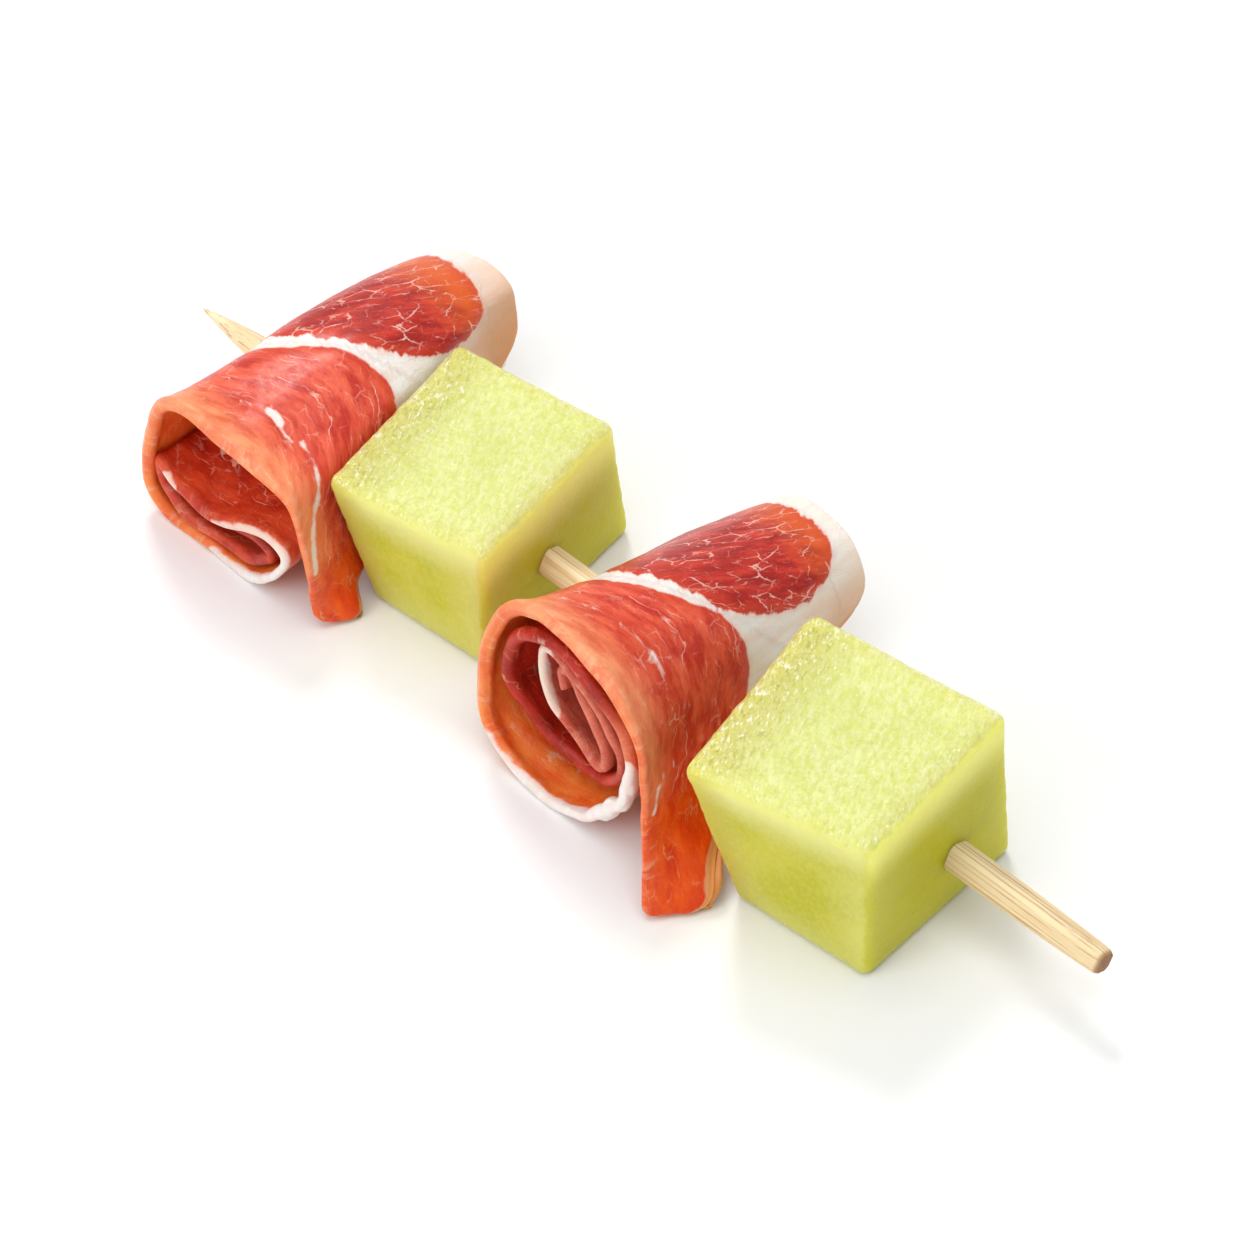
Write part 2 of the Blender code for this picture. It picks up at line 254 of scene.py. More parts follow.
# %% Facing share
def make_facing_group():
    """0 where the surface faces away from Direction, 1 where it faces it, with a soft step between."""
    inputs = (
        ("Direction", "NodeSocketVector", (0.0, 0.0, 1.0)),
        ("Start", "NodeSocketFloat", 0.5),
        ("End", "NodeSocketFloat", 0.9),
    )
    group, given, handed = new_group("facing_share", inputs, "Share")
    normal = add_node(group, "ShaderNodeNewGeometry").outputs["True Normal"]
    inputs = {0: normal, 1: given["Direction"]}
    towards = add_node(group, "ShaderNodeVectorMath", inputs, operation="DOT_PRODUCT").outputs["Value"]
    group.links.new(smooth_range(group, towards, given["Start"], given["End"]), handed["Share"])
    return group


FACING_GROUP = make_facing_group()
UPWARDS = (0.0, 0.0, 1.0)
TO_BLUNT_END = (1.0, 0.0, 0.0)


def facing_node(tree, direction, start, end):
    """0 where the surface's share of the direction is below start, 1 where it is above end."""
    inputs = {"Direction": direction, "Start": start, "End": end}
    return add_node(tree, "ShaderNodeGroup", inputs, node_tree=FACING_GROUP).outputs["Share"]


print(FACING_GROUP.name, "has", len(FACING_GROUP.nodes), "nodes")


# %% [markdown]
# ## Table
# The food lies on a plain white table top. It could be a slab with edges, but no edge shows, so one
# large flat sheet is enough. It is a trace cooler than white, because the light that melon and ham
# throw on it is warm.

# %% White table
TABLE_SIZE = 3.0
TABLE_WHITE = (0.95, 0.958, 0.966, 1.0)


def make_table():
    mesh = bpy.data.meshes.new("table")
    half = TABLE_SIZE / 2
    corners = [(-half, -half, 0.0), (half, -half, 0.0), (half, half, 0.0), (-half, half, 0.0)]
    mesh.from_pydata(corners, [], [(0, 1, 2, 3)])
    material, tree, shader = new_material("white_table")
    finish_surface(tree, shader, {}, {"Base Color": TABLE_WHITE, "Roughness": 0.6, "Specular IOR Level": 0.2})
    mesh.materials.append(material)
    made = bpy.data.objects.new("table", mesh)
    bpy.context.scene.collection.objects.link(made)
    return made


table = make_table()
print("table", TABLE_SIZE, "m square")

# %% [markdown]
# ## Light
# Food like this is lit softly from all round: a large lamp almost overhead, a small one behind it
# that gives the wet tops their sparkle, a broad one at the front, and a white room that fills the
# shadows. Point lamps would be simpler, but their shadows have hard edges, so each lamp is a disk,
# placed by its turn and rise round the food and always turned towards it.

# %% Lights
LAMPS = {  # turn and rise in degrees, distance and width in metres, power in watts
    "overhead": (0.0, 86.0, 1.3, 1.2, 7.5),
    "window": (235.0, 52.0, 1.2, 0.30, 4.5),
    "front_lamp": (345.0, 35.0, 1.3, 0.8, 5.2),
}
ROOM_BRIGHTNESS = 0.43


def add_lamp(name, turn, rise, distance, width, power):
    lamp = bpy.data.lights.new(name, "AREA")
    lamp.energy, lamp.shape, lamp.size = power, "DISK", width
    obj = bpy.data.objects.new(name, lamp)
    direction = look_from(math.radians(turn), math.radians(rise))
    obj.location = distance * direction
    obj.rotation_euler = direction.to_track_quat("Z", "Y").to_euler()
    bpy.context.scene.collection.objects.link(obj)


for name, lamp in LAMPS.items():
    add_lamp(name, *lamp)
room = bpy.data.worlds.new("white_room")
room.use_nodes = True
room.node_tree.nodes["Background"].inputs["Color"].default_value = (1.0, 1.0, 1.0, 1.0)
room.node_tree.nodes["Background"].inputs["Strength"].default_value = ROOM_BRIGHTNESS
bpy.context.scene.world = room
bpy.context.scene.view_settings.view_transform = "Standard"
print("lamps:", ", ".join(LAMPS))


# %% [markdown]
# ## Small helpers for meshes
# The melon and the ham are worked out as tables of points, each by its own rule, and then turned
# into smooth meshes in one way. A finished piece sits at the origin with its place in its points, so
# patterns on it stay where they are. Values kept on its points tell its material where it is.


# %% Pieces from points
def add_piece(name, points, faces, material, node):
    """A smooth piece in place of a node, from points in millimetres from the skewer and the table."""
    mesh = bpy.data.meshes.new(name)
    placed = (np.asarray(points, float) + (0.0, SKEWER_Y, 0.0)) * MM
    mesh.from_pydata(placed.tolist(), [], faces)
    mesh.shade_smooth()
    mesh.materials.append(material)
    piece = bpy.data.objects.new(name, mesh)
    bpy.context.scene.collection.objects.link(piece)
    hand_over(piece, node)
    return piece


def hand_over(piece, node):
    """Attaches the finished piece to the root body, hides the solid part that it replaces, and prints its
    size.
    """
    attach(piece, "root")
    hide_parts(node)
    sizes = [round(v / MM, 1) for v in piece.dimensions]
    print(piece.name, len(piece.data.polygons), "faces,", sizes, "mm")


def mark_points(piece, marks):
    """Keeps named values on the points of a piece, for its material to read."""
    for label, values in marks.items():
        layer = piece.data.attributes.new(label, "FLOAT", "POINT")
        layer.data.foreach_set("value", values.reshape(-1).astype(np.float32))


def ripple(points, size, seed):
    """Smooth noise from -1 to 1 at each point, with waves about this many millimetres long."""
    shift = Vector((seed * 17.3, seed * 5.1, seed * 11.7))
    return np.array([noise.noise(Vector(point) / size + shift) for point in points])


# %% [markdown]
# ## Melon cubes
# Ripe green melon is cut with a knife into cubes that are never quite square, so each one is given
# by its four upright edges: where they end at the top, and where they stand on the table. A cube
# from the menu, moved about by hand, would do as well, but the numbers keep the sides flat and
# leave the edges where the solid model has them.

# %% Melon sizes
MELON_CUBES = {  # the top (x, y, z) and the foot (x, y) of each upright edge
    "melon_cube_1": (
        ((-36.1, -16.7, 20.9), (-31.2, -14.0)),
        ((-13.0, -12.8, 21.0), (-13.0, -12.8)),
        ((-16.3, 14.2, 21.0), (-15.2, 16.0)),
        ((-40.2, 10.9, 20.9), (-35.9, 11.0)),
    ),
    "melon_cube_2": (
        ((27.6, -22.1, 25.0), (33.0, -17.4)),
        ((52.1, -16.2, 24.7), (52.3, -15.9)),
        ((50.7, 9.8, 26.0), (52.4, 10.7)),
        ((23.2, 6.0, 25.7), (26.4, 6.4)),
    ),
}
MELON_LENGTH, MELON_WIDTH = 24.0, 27.0
print("melon cubes:", ", ".join(MELON_CUBES))


def melon_points(edges, share):
    """Places in a hand-cut cube, from shares 0 to 1 of its length, width and height."""
    tops = np.array([top for top, _ in edges])
    feet = np.array([(x, y, 0.0) for _, (x, y) in edges])
    a, b, c = (share[:, i : i + 1] for i in range(3))
    weights = ((1 - a) * (1 - b), a * (1 - b), a * b, (1 - a) * b)
    return sum(weight * (feet[i] + (tops[i] - feet[i]) * c) for i, weight in enumerate(weights))


# %% [markdown]
# ## A rounded box of fine squares
# Wet cut corners go soft, and the torn flesh needs many small faces. A bevel and a subdivision
# would round a box too, but here every point also has to know how far it lies from the nearest
# edge. So a grid covers the six sides of a box, more of its lines are moved to where it bends, and
# the points near an edge are pulled in onto a round.

# %% Rounded box grid
MELON_ROUNDING = 1.5
MELON_STEPS = 64
EDGE_SHARE = 0.11  # the share of the grid lines that lie on the round at each end


def box_grid(steps):
    """Points and faces of a cube from 0 to 1, each side a grid, joined at its edges."""
    work = bmesh.new()
    bmesh.ops.create_cube(work, size=1.0)
    bmesh.ops.subdivide_edges(work, edges=work.edges, cuts=steps, use_grid_fill=True)
    points = np.array([vertex.co for vertex in work.verts]) + 0.5
    faces = [[vertex.index for vertex in face.verts] for face in work.faces]
    work.free()
    return points, faces


def crowd_edges(share, sizes, radius):
    """Spreads the grid lines so that more of them lie on the rounded edges."""
    edge = radius / sizes
    at_start = edge * (1 - np.cos(share / EDGE_SHARE * math.pi / 2))
    at_end = 1 - edge * (1 - np.cos((1 - share) / EDGE_SHARE * math.pi / 2))
    between = edge + (share - EDGE_SHARE) * (1 - 2 * edge) / (1 - 2 * EDGE_SHARE)
    return np.where(share < EDGE_SHARE, at_start, np.where(share > 1 - EDGE_SHARE, at_end, between))


def round_edges(share, sizes, radius):
    """Pulls the points of a box grid in, so that its edges and corners are round."""
    place = share * sizes
    core = np.clip(place, radius, sizes - radius)
    out = place - core
    length = np.linalg.norm(out, axis=1, keepdims=True)
    return np.where(length > radius, core + out * radius / np.maximum(length, 1e-9), place) / sizes


print("box grid:", len(box_grid(MELON_STEPS)[0]), "points")

# %% [markdown]
# ## Torn flesh
# A knife leaves the sides of a cube nearly flat, with a slight swell, and nicks its edges where the
# juicy strings tear. Sculpting could add this by hand. Here each point moves straight in or out by
# three ripples of different length, and by a fourth that is strong only near an edge, for the nicks.
# They fade out at the table so that the cube stands flat.

# %% Melon shape
SWELLS = ((0.14, 9.0, 1), (0.06, 2.6, 2), (0.06, 0.9, 3))  # how high, how long, and seed
NICKS = (0.18, 1.7, 4)
NICK_REACH = 1.2
TABLE_FADE = 2.0


def melon_relief(points, to_edge):
    """How far each point of a cube stands out."""
    height, length, seed = NICKS
    nicks = height * ripple(points, length, seed) * np.exp(-to_edge / NICK_REACH)
    return sum(high * ripple(points, long, own) for high, long, own in SWELLS) + nicks


def make_melon(name, material):
    edges = MELON_CUBES[name]
    sizes = np.array([MELON_LENGTH, MELON_WIDTH, edges[0][0][2]])
    share, faces = box_grid(MELON_STEPS)
    share = round_edges(crowd_edges(share, sizes, MELON_ROUNDING), sizes, MELON_ROUNDING)
    place = share * sizes
    points = melon_points(edges, share)
    outwards = place - np.clip(place, MELON_ROUNDING, sizes - MELON_ROUNDING)
    outwards /= np.maximum(np.linalg.norm(outwards, axis=1, keepdims=True), 1e-9)
    off_table = np.clip(points[:, 2:3] / TABLE_FADE, 0, 1)
    to_edge = np.sort(np.minimum(place, sizes - place), axis=1)[:, 1]
    points = points + outwards * melon_relief(points, to_edge)[:, None] * off_table
    piece = add_piece(name + "_flesh", points, faces, material, name)
    from_top = (1 - share[:, 2]) * sizes[2]
    mark_points(piece, {"from_edge": to_edge, "from_top": from_top, "from_ham_side": place[:, 0]})


print("melon relief: up to", round(sum(high for high, _, _ in SWELLS) + NICKS[0], 2), "mm")

# %% [markdown]
# ## Melon colours
# Cut sides look deep and clear, because light goes in and comes out elsewhere, and pale where it
# comes out again at an edge, as painted light. Next to the ham roll the flesh gets painted shade.
# The torn top is frosted with burst cells, with painted glints in the frost and a paler base that is
# partly painted sheen. Two mixtures of colours are made, for the sides and for the top, and the
# facing group chooses between them.

# %% Melon patterns
GRAIN_TURN = -23.0  # degrees, of the flesh's strings seen from above
MELON_COLOURS = {
    "clear": (205, 199, 62),
    "deep": (192, 189, 36),
    "pale cells": (217, 215, 108),
    "thin edge": (228, 227, 150),
    "painted ham shadow": (186, 170, 58),
    "painted shade, blunt side": (196, 190, 8),
    "glow": (255, 252, 142),
    "torn": (222, 226, 136),
    "torn and dry": (235, 238, 174),
    "torn and clear": (212, 218, 112),
    "torn, painted shade": (206, 201, 106),
    "painted shade stroke": (170, 166, 60),
    "frost_and_glints": (253, 253, 232),
}
MELON = {label: linear(*colour) for label, colour in MELON_COLOURS.items()}


def melon_patterns(tree):
    """The patterns and marks that the sides and the top share."""
    place = add_node(tree, "ShaderNodeTexCoord").outputs["Object"]
    made = {label: attribute(tree, label) for label in ("from_edge", "from_top", "from_ham_side")}
    made["place"] = place
    made["torn"] = facing_node(tree, UPWARDS, 0.55, 0.92)
    made["cloudy"] = noise_node(tree, place, 150.0)
    made["mottle"] = grain_node(tree, place, (1500.0, 600.0, 1000.0), GRAIN_TURN, 4.0, 0.65)
    near_rind = smooth_range(tree, made["from_ham_side"], 0.5, 10.0, 0.85, 0.0)
    made["near_rind"] = greater(tree, near_rind, smooth_range(tree, made["from_edge"], 0.3, 4.0, 0.3, 0.0))
    return made


print("melon colours:", len(MELON))

# %% [markdown]
# ## The cut sides of the melon
# The sides go from a deep green in the middle to a pale green at the edges and near the top, as
# painted light where light comes through. Near the ham roll they get a painted shadow. The side that
# faces the stick's blunt end gets painted shade, a deeper green, and a painted glow along its top.
# A painted picture would have to be fitted to each cube. Soft steps over the distances that are
# kept on the points colour both cubes alike.

# %% Melon sides
def melon_sides(tree, melon):
    flesh = blend(tree, smooth_range(tree, melon["cloudy"], 0.35, 0.65), MELON["clear"], MELON["deep"])
    flesh = blend(tree, smooth_range(tree, melon["mottle"], 0.4, 0.7, 0.0, 0.4), flesh, MELON["pale cells"])
    # painted light: paler where light would come through at the edges and near the top
    at_edge = smooth_range(tree, melon["from_edge"], 0.0, 8.0, 0.42, 0.0)
    thin = greater(tree, at_edge, smooth_range(tree, melon["from_top"], 0.3, 8.0, 0.9, 0.0))
    flesh = blend(tree, thin, flesh, MELON["thin edge"])
    # painted shadow of the ham roll: darker and browner within a few millimetres of the side it leans on
    ham_shadow = smooth_range(tree, melon["from_ham_side"], 0.0, 7.0, 0.75, 0.0)
    flesh = blend(tree, ham_shadow, flesh, MELON["painted ham shadow"])
    # painted shade: the side facing the stick's blunt end is made a deeper green
    shade_and_glow_side = facing_node(tree, TO_BLUNT_END, 0.5, 0.9)
    flesh = blend(tree, times(tree, shade_and_glow_side, 0.6), flesh, MELON["painted shade, blunt side"])
    # painted glow along the top of that side, where light would come through
    glow = times(tree, shade_and_glow_side, smooth_range(tree, melon["from_top"], 0.3, 9.0, 0.9, 0.0))
    return blend(tree, glow, flesh, MELON["glow"])


# %% [markdown]
# ## The torn top of the melon
# Burst cells dry to a white frost in short strokes along the flesh's strings, thickest in patches.
# The same strokes stand for painted glints too, so they are whiter and more numerous near the ham
# roll and the edges, and small dark strokes of painted shade lie between them there. The top's
# paler base is partly the torn flesh and partly painted sheen. The strokes could be modelled as
# flakes, but they are so small that colour and bump show them just as well.

# %% Melon top
STROKES = (3000.0, 1000.0, 1600.0)
DARK_STROKES = (2200.0, 800.0, 1500.0)


def melon_top(tree, melon):
    place, near_rind = melon["place"], melon["near_rind"]
    # the top's paler base is partly the torn flesh and partly a painted sheen
    top = blend(tree, smooth_range(tree, melon["mottle"], 0.35, 0.65), MELON["torn"], MELON["torn and dry"])
    clear = smooth_range(tree, melon["cloudy"], 0.4, 0.7, 0.0, 0.3)
    top = blend(tree, clear, top, MELON["torn and clear"])
    # painted shade on the top near the side that the ham roll leans on, and near the edges
    top = blend(tree, near_rind, top, MELON["torn, painted shade"])
    # painted shade: small dark strokes between the glints, near the ham roll and the edges
    dark_strokes = grain_node(tree, place, DARK_STROKES, GRAIN_TURN, 3.0, 0.6)
    dark_strokes = times(tree, near_rind, smooth_range(tree, dark_strokes, 0.53, 0.64, 0.0, 0.75))
    top = blend(tree, dark_strokes, top, MELON["painted shade stroke"])
    # frost strokes that also stand for painted glints: whiter and more of them near the ham roll and edges
    strokes = grain_node(tree, place, STROKES, GRAIN_TURN, 4.0, 0.65)
    patches = noise_node(tree, place, 600.0, 3.0, 0.6)
    glints_near_ham = times(tree, near_rind, 0.07)
    frost_and_glints = smooth_range(tree, plus(tree, strokes, glints_near_ham), 0.58, 0.68)
    frost_and_glints = times(tree, frost_and_glints, smooth_range(tree, plus(tree, patches, glints_near_ham), 0.42, 0.60, 0.1, 1.0))
    glint_whiteness = plus(tree, 0.55, times(tree, near_rind, 0.4))
    return blend(tree, times(tree, frost_and_glints, glint_whiteness), top, MELON["frost_and_glints"])


# %% [markdown]
# ## The wet film on the melon
# Fresh melon is wet. A coat gives the shine, and a second bump under the coat alone breaks it into
# droplets, so the lamp behind shows as many small glints and not as one mirrored disk. Light also
# goes some way into the flesh, furthest in red and green, and this makes the sides look juicy.

# %% Melon finish
JUICE_DEPTH = (1.0, 0.95, 0.22)
MELON_SURFACE = {
    "Roughness": 0.4,
    "Coat Roughness": 0.05,
    "Specular IOR Level": 0.12,
    "Subsurface Weight": 1.0,
    "Subsurface Radius": JUICE_DEPTH,
    "Subsurface Scale": 0.007,
}


def melon_bumps(tree, melon):
    """The bump of the flesh and the bump of the wet film on it."""
    place, torn = melon["place"], melon["torn"]
    cells = add_node(tree, "ShaderNodeTexVoronoi", {"Vector": place, "Scale": 1500.0}, feature="F1")
    wet = noise_node(tree, place, 800.0, 4.0, 0.65)
    height = plus(tree, cells.outputs["Distance"], times(tree, wet, 1.6))
    height = times(tree, height, plus(tree, 0.25, times(tree, torn, 0.75)))
    flesh = add_node(tree, "ShaderNodeBump", {"Height": height, "Strength": 0.8, "Distance": 0.00035})
    droplets = grain_node(tree, place, (1300.0, 550.0, 900.0), GRAIN_TURN, 1.5, 0.5)
    film = add_node(tree, "ShaderNodeBump", {"Height": droplets, "Strength": 1.0, "Distance": 0.0012})
    return flesh.outputs[0], film.outputs[0]


def make_melon_finish():
    material, tree, shader = new_material("melon_flesh")
    melon = melon_patterns(tree)
    colour = blend(tree, melon["torn"], melon_sides(tree, melon), melon_top(tree, melon))
    at_edge = smooth_range(tree, melon["from_edge"], 0.5, 6.0, 0.6, 0.0)
    shine = plus(tree, 0.35, times(tree, greater(tree, melon["near_rind"], at_edge), 0.65))
    coat = plus(tree, 0.05, times(tree, melon["torn"], shine))
    flesh, film = melon_bumps(tree, melon)
    links = {"Base Color": colour, "Normal": flesh, "Coat Normal": film, "Coat Weight": coat}
    finish_surface(tree, shader, links, MELON_SURFACE)
    print(material.name, "has", len(tree.nodes), "nodes")
    return material


melon_finish = make_melon_finish()
for name in MELON_CUBES:
    make_melon(name, melon_finish)

# %% [markdown]
# ## Bamboo skewer
# The skewer is a thin stick split from bamboo, so it is squarish and not round. It is pared to a
# point at one end and slightly narrowed at the other. It could be turned or lofted by hand. A small
# node tree makes it here: a cylinder is laid along X, and each of its points is moved out by a
# radius that depends on where it lies along the stick and round it.

# %% Skewer shape
STICK_INPUTS = {
    "Length": 150.0,
    "Diameter": 4.0,
    "Point Length": 17.0,
    "End Length": 14.0,
    "Flatness": 0.9,
    "Turn": 0.5,
}
NEEDLE = 0.06  # the share of the radius that is left at the tip
END_WIDTH = 0.775  # the share of the radius at the blunt end
END_CHAMFER = 0.02
CORNER_LIMIT = 1.03


def stick_taper(tree, given, z):
    """The share of the full radius at each place along the stick, and how far the point has grown."""
    along = plus(tree, z, times(tree, given["Length"], 0.5))
    to_point = math_node(tree, "DIVIDE", along, given["Point Length"], clamp=True)
    bulge = math_node(tree, "POWER", to_point, 0.9)
    pointed = math_node(tree, "SINE", times(tree, bulge, math.pi / 2))
    left = math_node(tree, "SUBTRACT", given["Length"], along)
    to_end = math_node(tree, "DIVIDE", left, given["End Length"], clamp=True)
    narrowed = plus(tree, END_WIDTH, times(tree, 1 - END_WIDTH, math_node(tree, "SQRT", to_end)))
    rounded = smooth_range(tree, to_end, 0.0, END_CHAMFER, 0.88, 1.0)
    share = times(tree, times(tree, pointed, 1 - NEEDLE), times(tree, narrowed, rounded))
    return plus(tree, share, NEEDLE), pointed


def stick_flats(tree, given, x, y, pointed):
    """A factor round the stick that gives it four soft flats, away from the point."""
    angle = plus(tree, math_node(tree, "ARCTAN2", y, x), given["Turn"])
    sides = [math_node(tree, "ABSOLUTE", math_node(tree, wave, angle)) for wave in ("COSINE", "SINE")]
    square = math_node(tree, "DIVIDE", given["Flatness"], greater(tree, *sides))
    squared = math_node(tree, "MINIMUM", square, CORNER_LIMIT)
    return plus(tree, times(tree, math_node(tree, "SUBTRACT", squared, 1.0), pointed), 1.0)


print("the stick's inputs:", ", ".join(STICK_INPUTS))

# %% [markdown]
# ## The stick's tree
# The stick is one piece whose shape follows a rule, so a tree of geometry nodes makes it. A profile
# could be turned on a screw modifier, but that gives a round stick only. The tree starts from a
# plain cylinder along Z, and each of its points takes its new place from the two factors above.

# %% Stick tree
STICK_GRID = {"Vertices": 72, "Side Segments": 300, "Fill Segments": 6, "Radius": 1.0}


def make_stick_tree(material):
    """Geometry nodes for a pared stick along X. Its sizes are the tree's inputs."""
    tree = bpy.data.node_groups.new("pared_stick", "GeometryNodeTree")
    for label, value in STICK_INPUTS.items():
        socket = tree.interface.new_socket(label, in_out="INPUT", socket_type="NodeSocketFloat")
        socket.default_value = value
    tree.interface.new_socket("Stick", in_out="OUTPUT", socket_type="NodeSocketGeometry")
    given = add_node(tree, "NodeGroupInput").outputs
    grid = add_node(tree, "GeometryNodeMeshCylinder", {**STICK_GRID, "Depth": given["Length"]})
    here = add_node(tree, "GeometryNodeInputPosition").outputs[0]
    place = add_node(tree, "ShaderNodeSeparateXYZ", {0: here}).outputs
    taper, pointed = stick_taper(tree, given, place["Z"])
    flats = stick_flats(tree, given, place["X"], place["Y"], pointed)
    radius = times(tree, times(tree, taper, flats), times(tree, given["Diameter"], 0.5))
    across, up = times(tree, place["X"], radius), times(tree, place["Y"], radius)
    moved = add_node(tree, "ShaderNodeCombineXYZ", {"X": place["Z"], "Y": across, "Z": up}).outputs[0]
    inputs = {"Geometry": grid.outputs["Mesh"], "Position": moved}
    shaped = add_node(tree, "GeometryNodeSetPosition", inputs)
    single = add_node(tree, "GeometryNodeRealizeInstances", {"Geometry": shaped.outputs[0]})
    inputs = {"Geometry": single.outputs[0], "Material": material}
    finished = add_node(tree, "GeometryNodeSetMaterial", inputs)
    add_node(tree, "NodeGroupOutput", {"Stick": finished.outputs[0]})
    print(tree.name, "has", len(tree.nodes), "nodes")
    return tree


# %% [markdown]
# ## From a node tree to a plain mesh
# A modifier's inputs are set on an empty helper object, and the mesh that comes out is kept as an
# ordinary one. Leaving the modifier on would work in Blender, but a plain mesh is what can be
# handed on to other programs.

# %% Plain mesh
def set_input(modifier, label, value):
    """Sets one named input of a node tree, by its identifier."""
    for item in modifier.node_group.interface.items_tree:
        if item.item_type == "SOCKET" and item.in_out == "INPUT" and item.name == label:
            modifier[item.identifier] = value


def make_plain(obj, modifier, name, material):
    """A new object with the plain mesh that the modifier makes. The helper object goes."""
    bpy.context.view_layer.update()
    graph = bpy.context.evaluated_depsgraph_get()
    mesh = bpy.data.meshes.new_from_object(obj.evaluated_get(graph))
    mesh.name = name
    mesh.materials.clear()
    mesh.materials.append(material)
    obj.modifiers.remove(modifier)
    bpy.data.objects.remove(obj)
    plain = bpy.data.objects.new(name, mesh)
    bpy.context.scene.collection.objects.link(plain)
    return plain


# %% [markdown]
# ## Bare bamboo
# Split bamboo is pale straw with thin brown fibres that run its whole length. Sawn across, the
# fibres show as dark dots, and the rim of the cut is brown. Grain that is drawn out a hundred times
# along X gives the fibres, and the facing group finds the cut end.

# %% Bamboo finish
BAMBOO_COLOURS = {
    "pale": (251, 232, 194),
    "straw": (240, 212, 162),
    "fine fibre": (224, 184, 128),
    "fibre": (180, 134, 82),
    "cut rim": (150, 98, 50),
    "vessel": (84, 48, 26),
    "cut face": (164, 108, 64),
}
BAMBOO = {label: linear(*colour) for label, colour in BAMBOO_COLOURS.items()}
RIM_START, RIM_END = 0.7, 0.1  # how far from the cut its brown rim starts, and where it is darkest


def bamboo_sides(tree, place, fibres):
    tone = grain_node(tree, place, (12.0, 650.0, 650.0))
    fine = grain_node(tree, place, (60.0, 7000.0, 7000.0), 0.0, 3.0, 0.6)
    colour = blend(tree, smooth_range(tree, tone, 0.35, 0.65), BAMBOO["pale"], BAMBOO["straw"])
    colour = blend(tree, smooth_range(tree, fine, 0.45, 0.7, 0.0, 0.3), colour, BAMBOO["fine fibre"])
    return blend(tree, smooth_range(tree, fibres, 0.54, 0.64, 0.0, 0.75), colour, BAMBOO["fibre"])


def bamboo_cut(tree, place):
    inputs = {"Vector": place, "Scale": 2600.0}
    vessels = add_node(tree, "ShaderNodeTexVoronoi", inputs, feature="F1").outputs["Distance"]
    return blend(tree, smooth_range(tree, vessels, 0.15, 0.4), BAMBOO["vessel"], BAMBOO["cut face"])


def make_bamboo_finish():
    material, tree, shader = new_material("bare_bamboo")
    place = add_node(tree, "ShaderNodeTexCoord").outputs["Object"]
    fibres = grain_node(tree, place, (22.0, 3000.0, 3000.0), 0.0, 5.0, 0.65)
    along = add_node(tree, "ShaderNodeSeparateXYZ", {0: place}).outputs["X"]
    start, end = ((SKEWER_LENGTH / 2 - from_cut) * MM for from_cut in (RIM_START, RIM_END))
    near_cut = smooth_range(tree, along, start, end, 0.0, 0.8)
    colour = blend(tree, near_cut, bamboo_sides(tree, place, fibres), BAMBOO["cut rim"])
    cut = facing_node(tree, TO_BLUNT_END, 0.5, 0.8)
    colour = blend(tree, cut, colour, bamboo_cut(tree, place))
    bump = add_node(tree, "ShaderNodeBump", {"Height": fibres, "Strength": 0.5, "Distance": 0.00015})
    links = {"Base Color": colour, "Normal": bump.outputs[0]}
    finish_surface(tree, shader, links, {"Roughness": 0.5, "Specular IOR Level": 0.3})
    print(material.name, "has", len(tree.nodes), "nodes")
    return material


# %% [markdown]
# ## The skewer in place
# The tree's sizes are taken from the solid model, the plain mesh is moved to the skewer's line, and
# its edges stay sharp only where the end is sawn off. The sizes could be typed in again, but then
# the stick would no longer follow the solid model if that changed.

# %% Skewer
SHARP_EDGE = math.radians(50)


def make_skewer(material):
    helper = bpy.data.objects.new("stick_helper", bpy.data.meshes.new("stick_helper"))
    bpy.context.scene.collection.objects.link(helper)
    modifier = helper.modifiers.new("pared stick", "NODES")
    modifier.node_group = make_stick_tree(material)
    set_input(modifier, "Length", SKEWER_LENGTH)
    set_input(modifier, "Diameter", SKEWER_DIAMETER)
    stick = make_plain(helper, modifier, "bamboo_stick", material)
    for vertex in stick.data.vertices:
        vertex.co = (vertex.co + Vector((0.0, SKEWER_Y, SKEWER_Z))) * MM
    stick.data.update()
    stick.data.shade_smooth()
    stick.data.set_sharp_from_angle(angle=SHARP_EDGE)
    hand_over(stick, "skewer")


make_skewer(make_bamboo_finish())

# %% [markdown]
# ## Ham rolls
# A slice of dry-cured ham is a thin soft sheet. It hangs as a short tail at one side, goes over the
# top of the roll, down, under, and then round and round inside. Each point of the sheet has a path
# and a share. The path is -1 at the tip of the tail, 0 where the tail meets the roll, and one more
# for each turn. The share runs from the edge at the open mouth, 0, to the fatty far edge, 1. A sheet
# could also be draped or rolled by a simulation, but a spiral given by a table keeps to the solid.

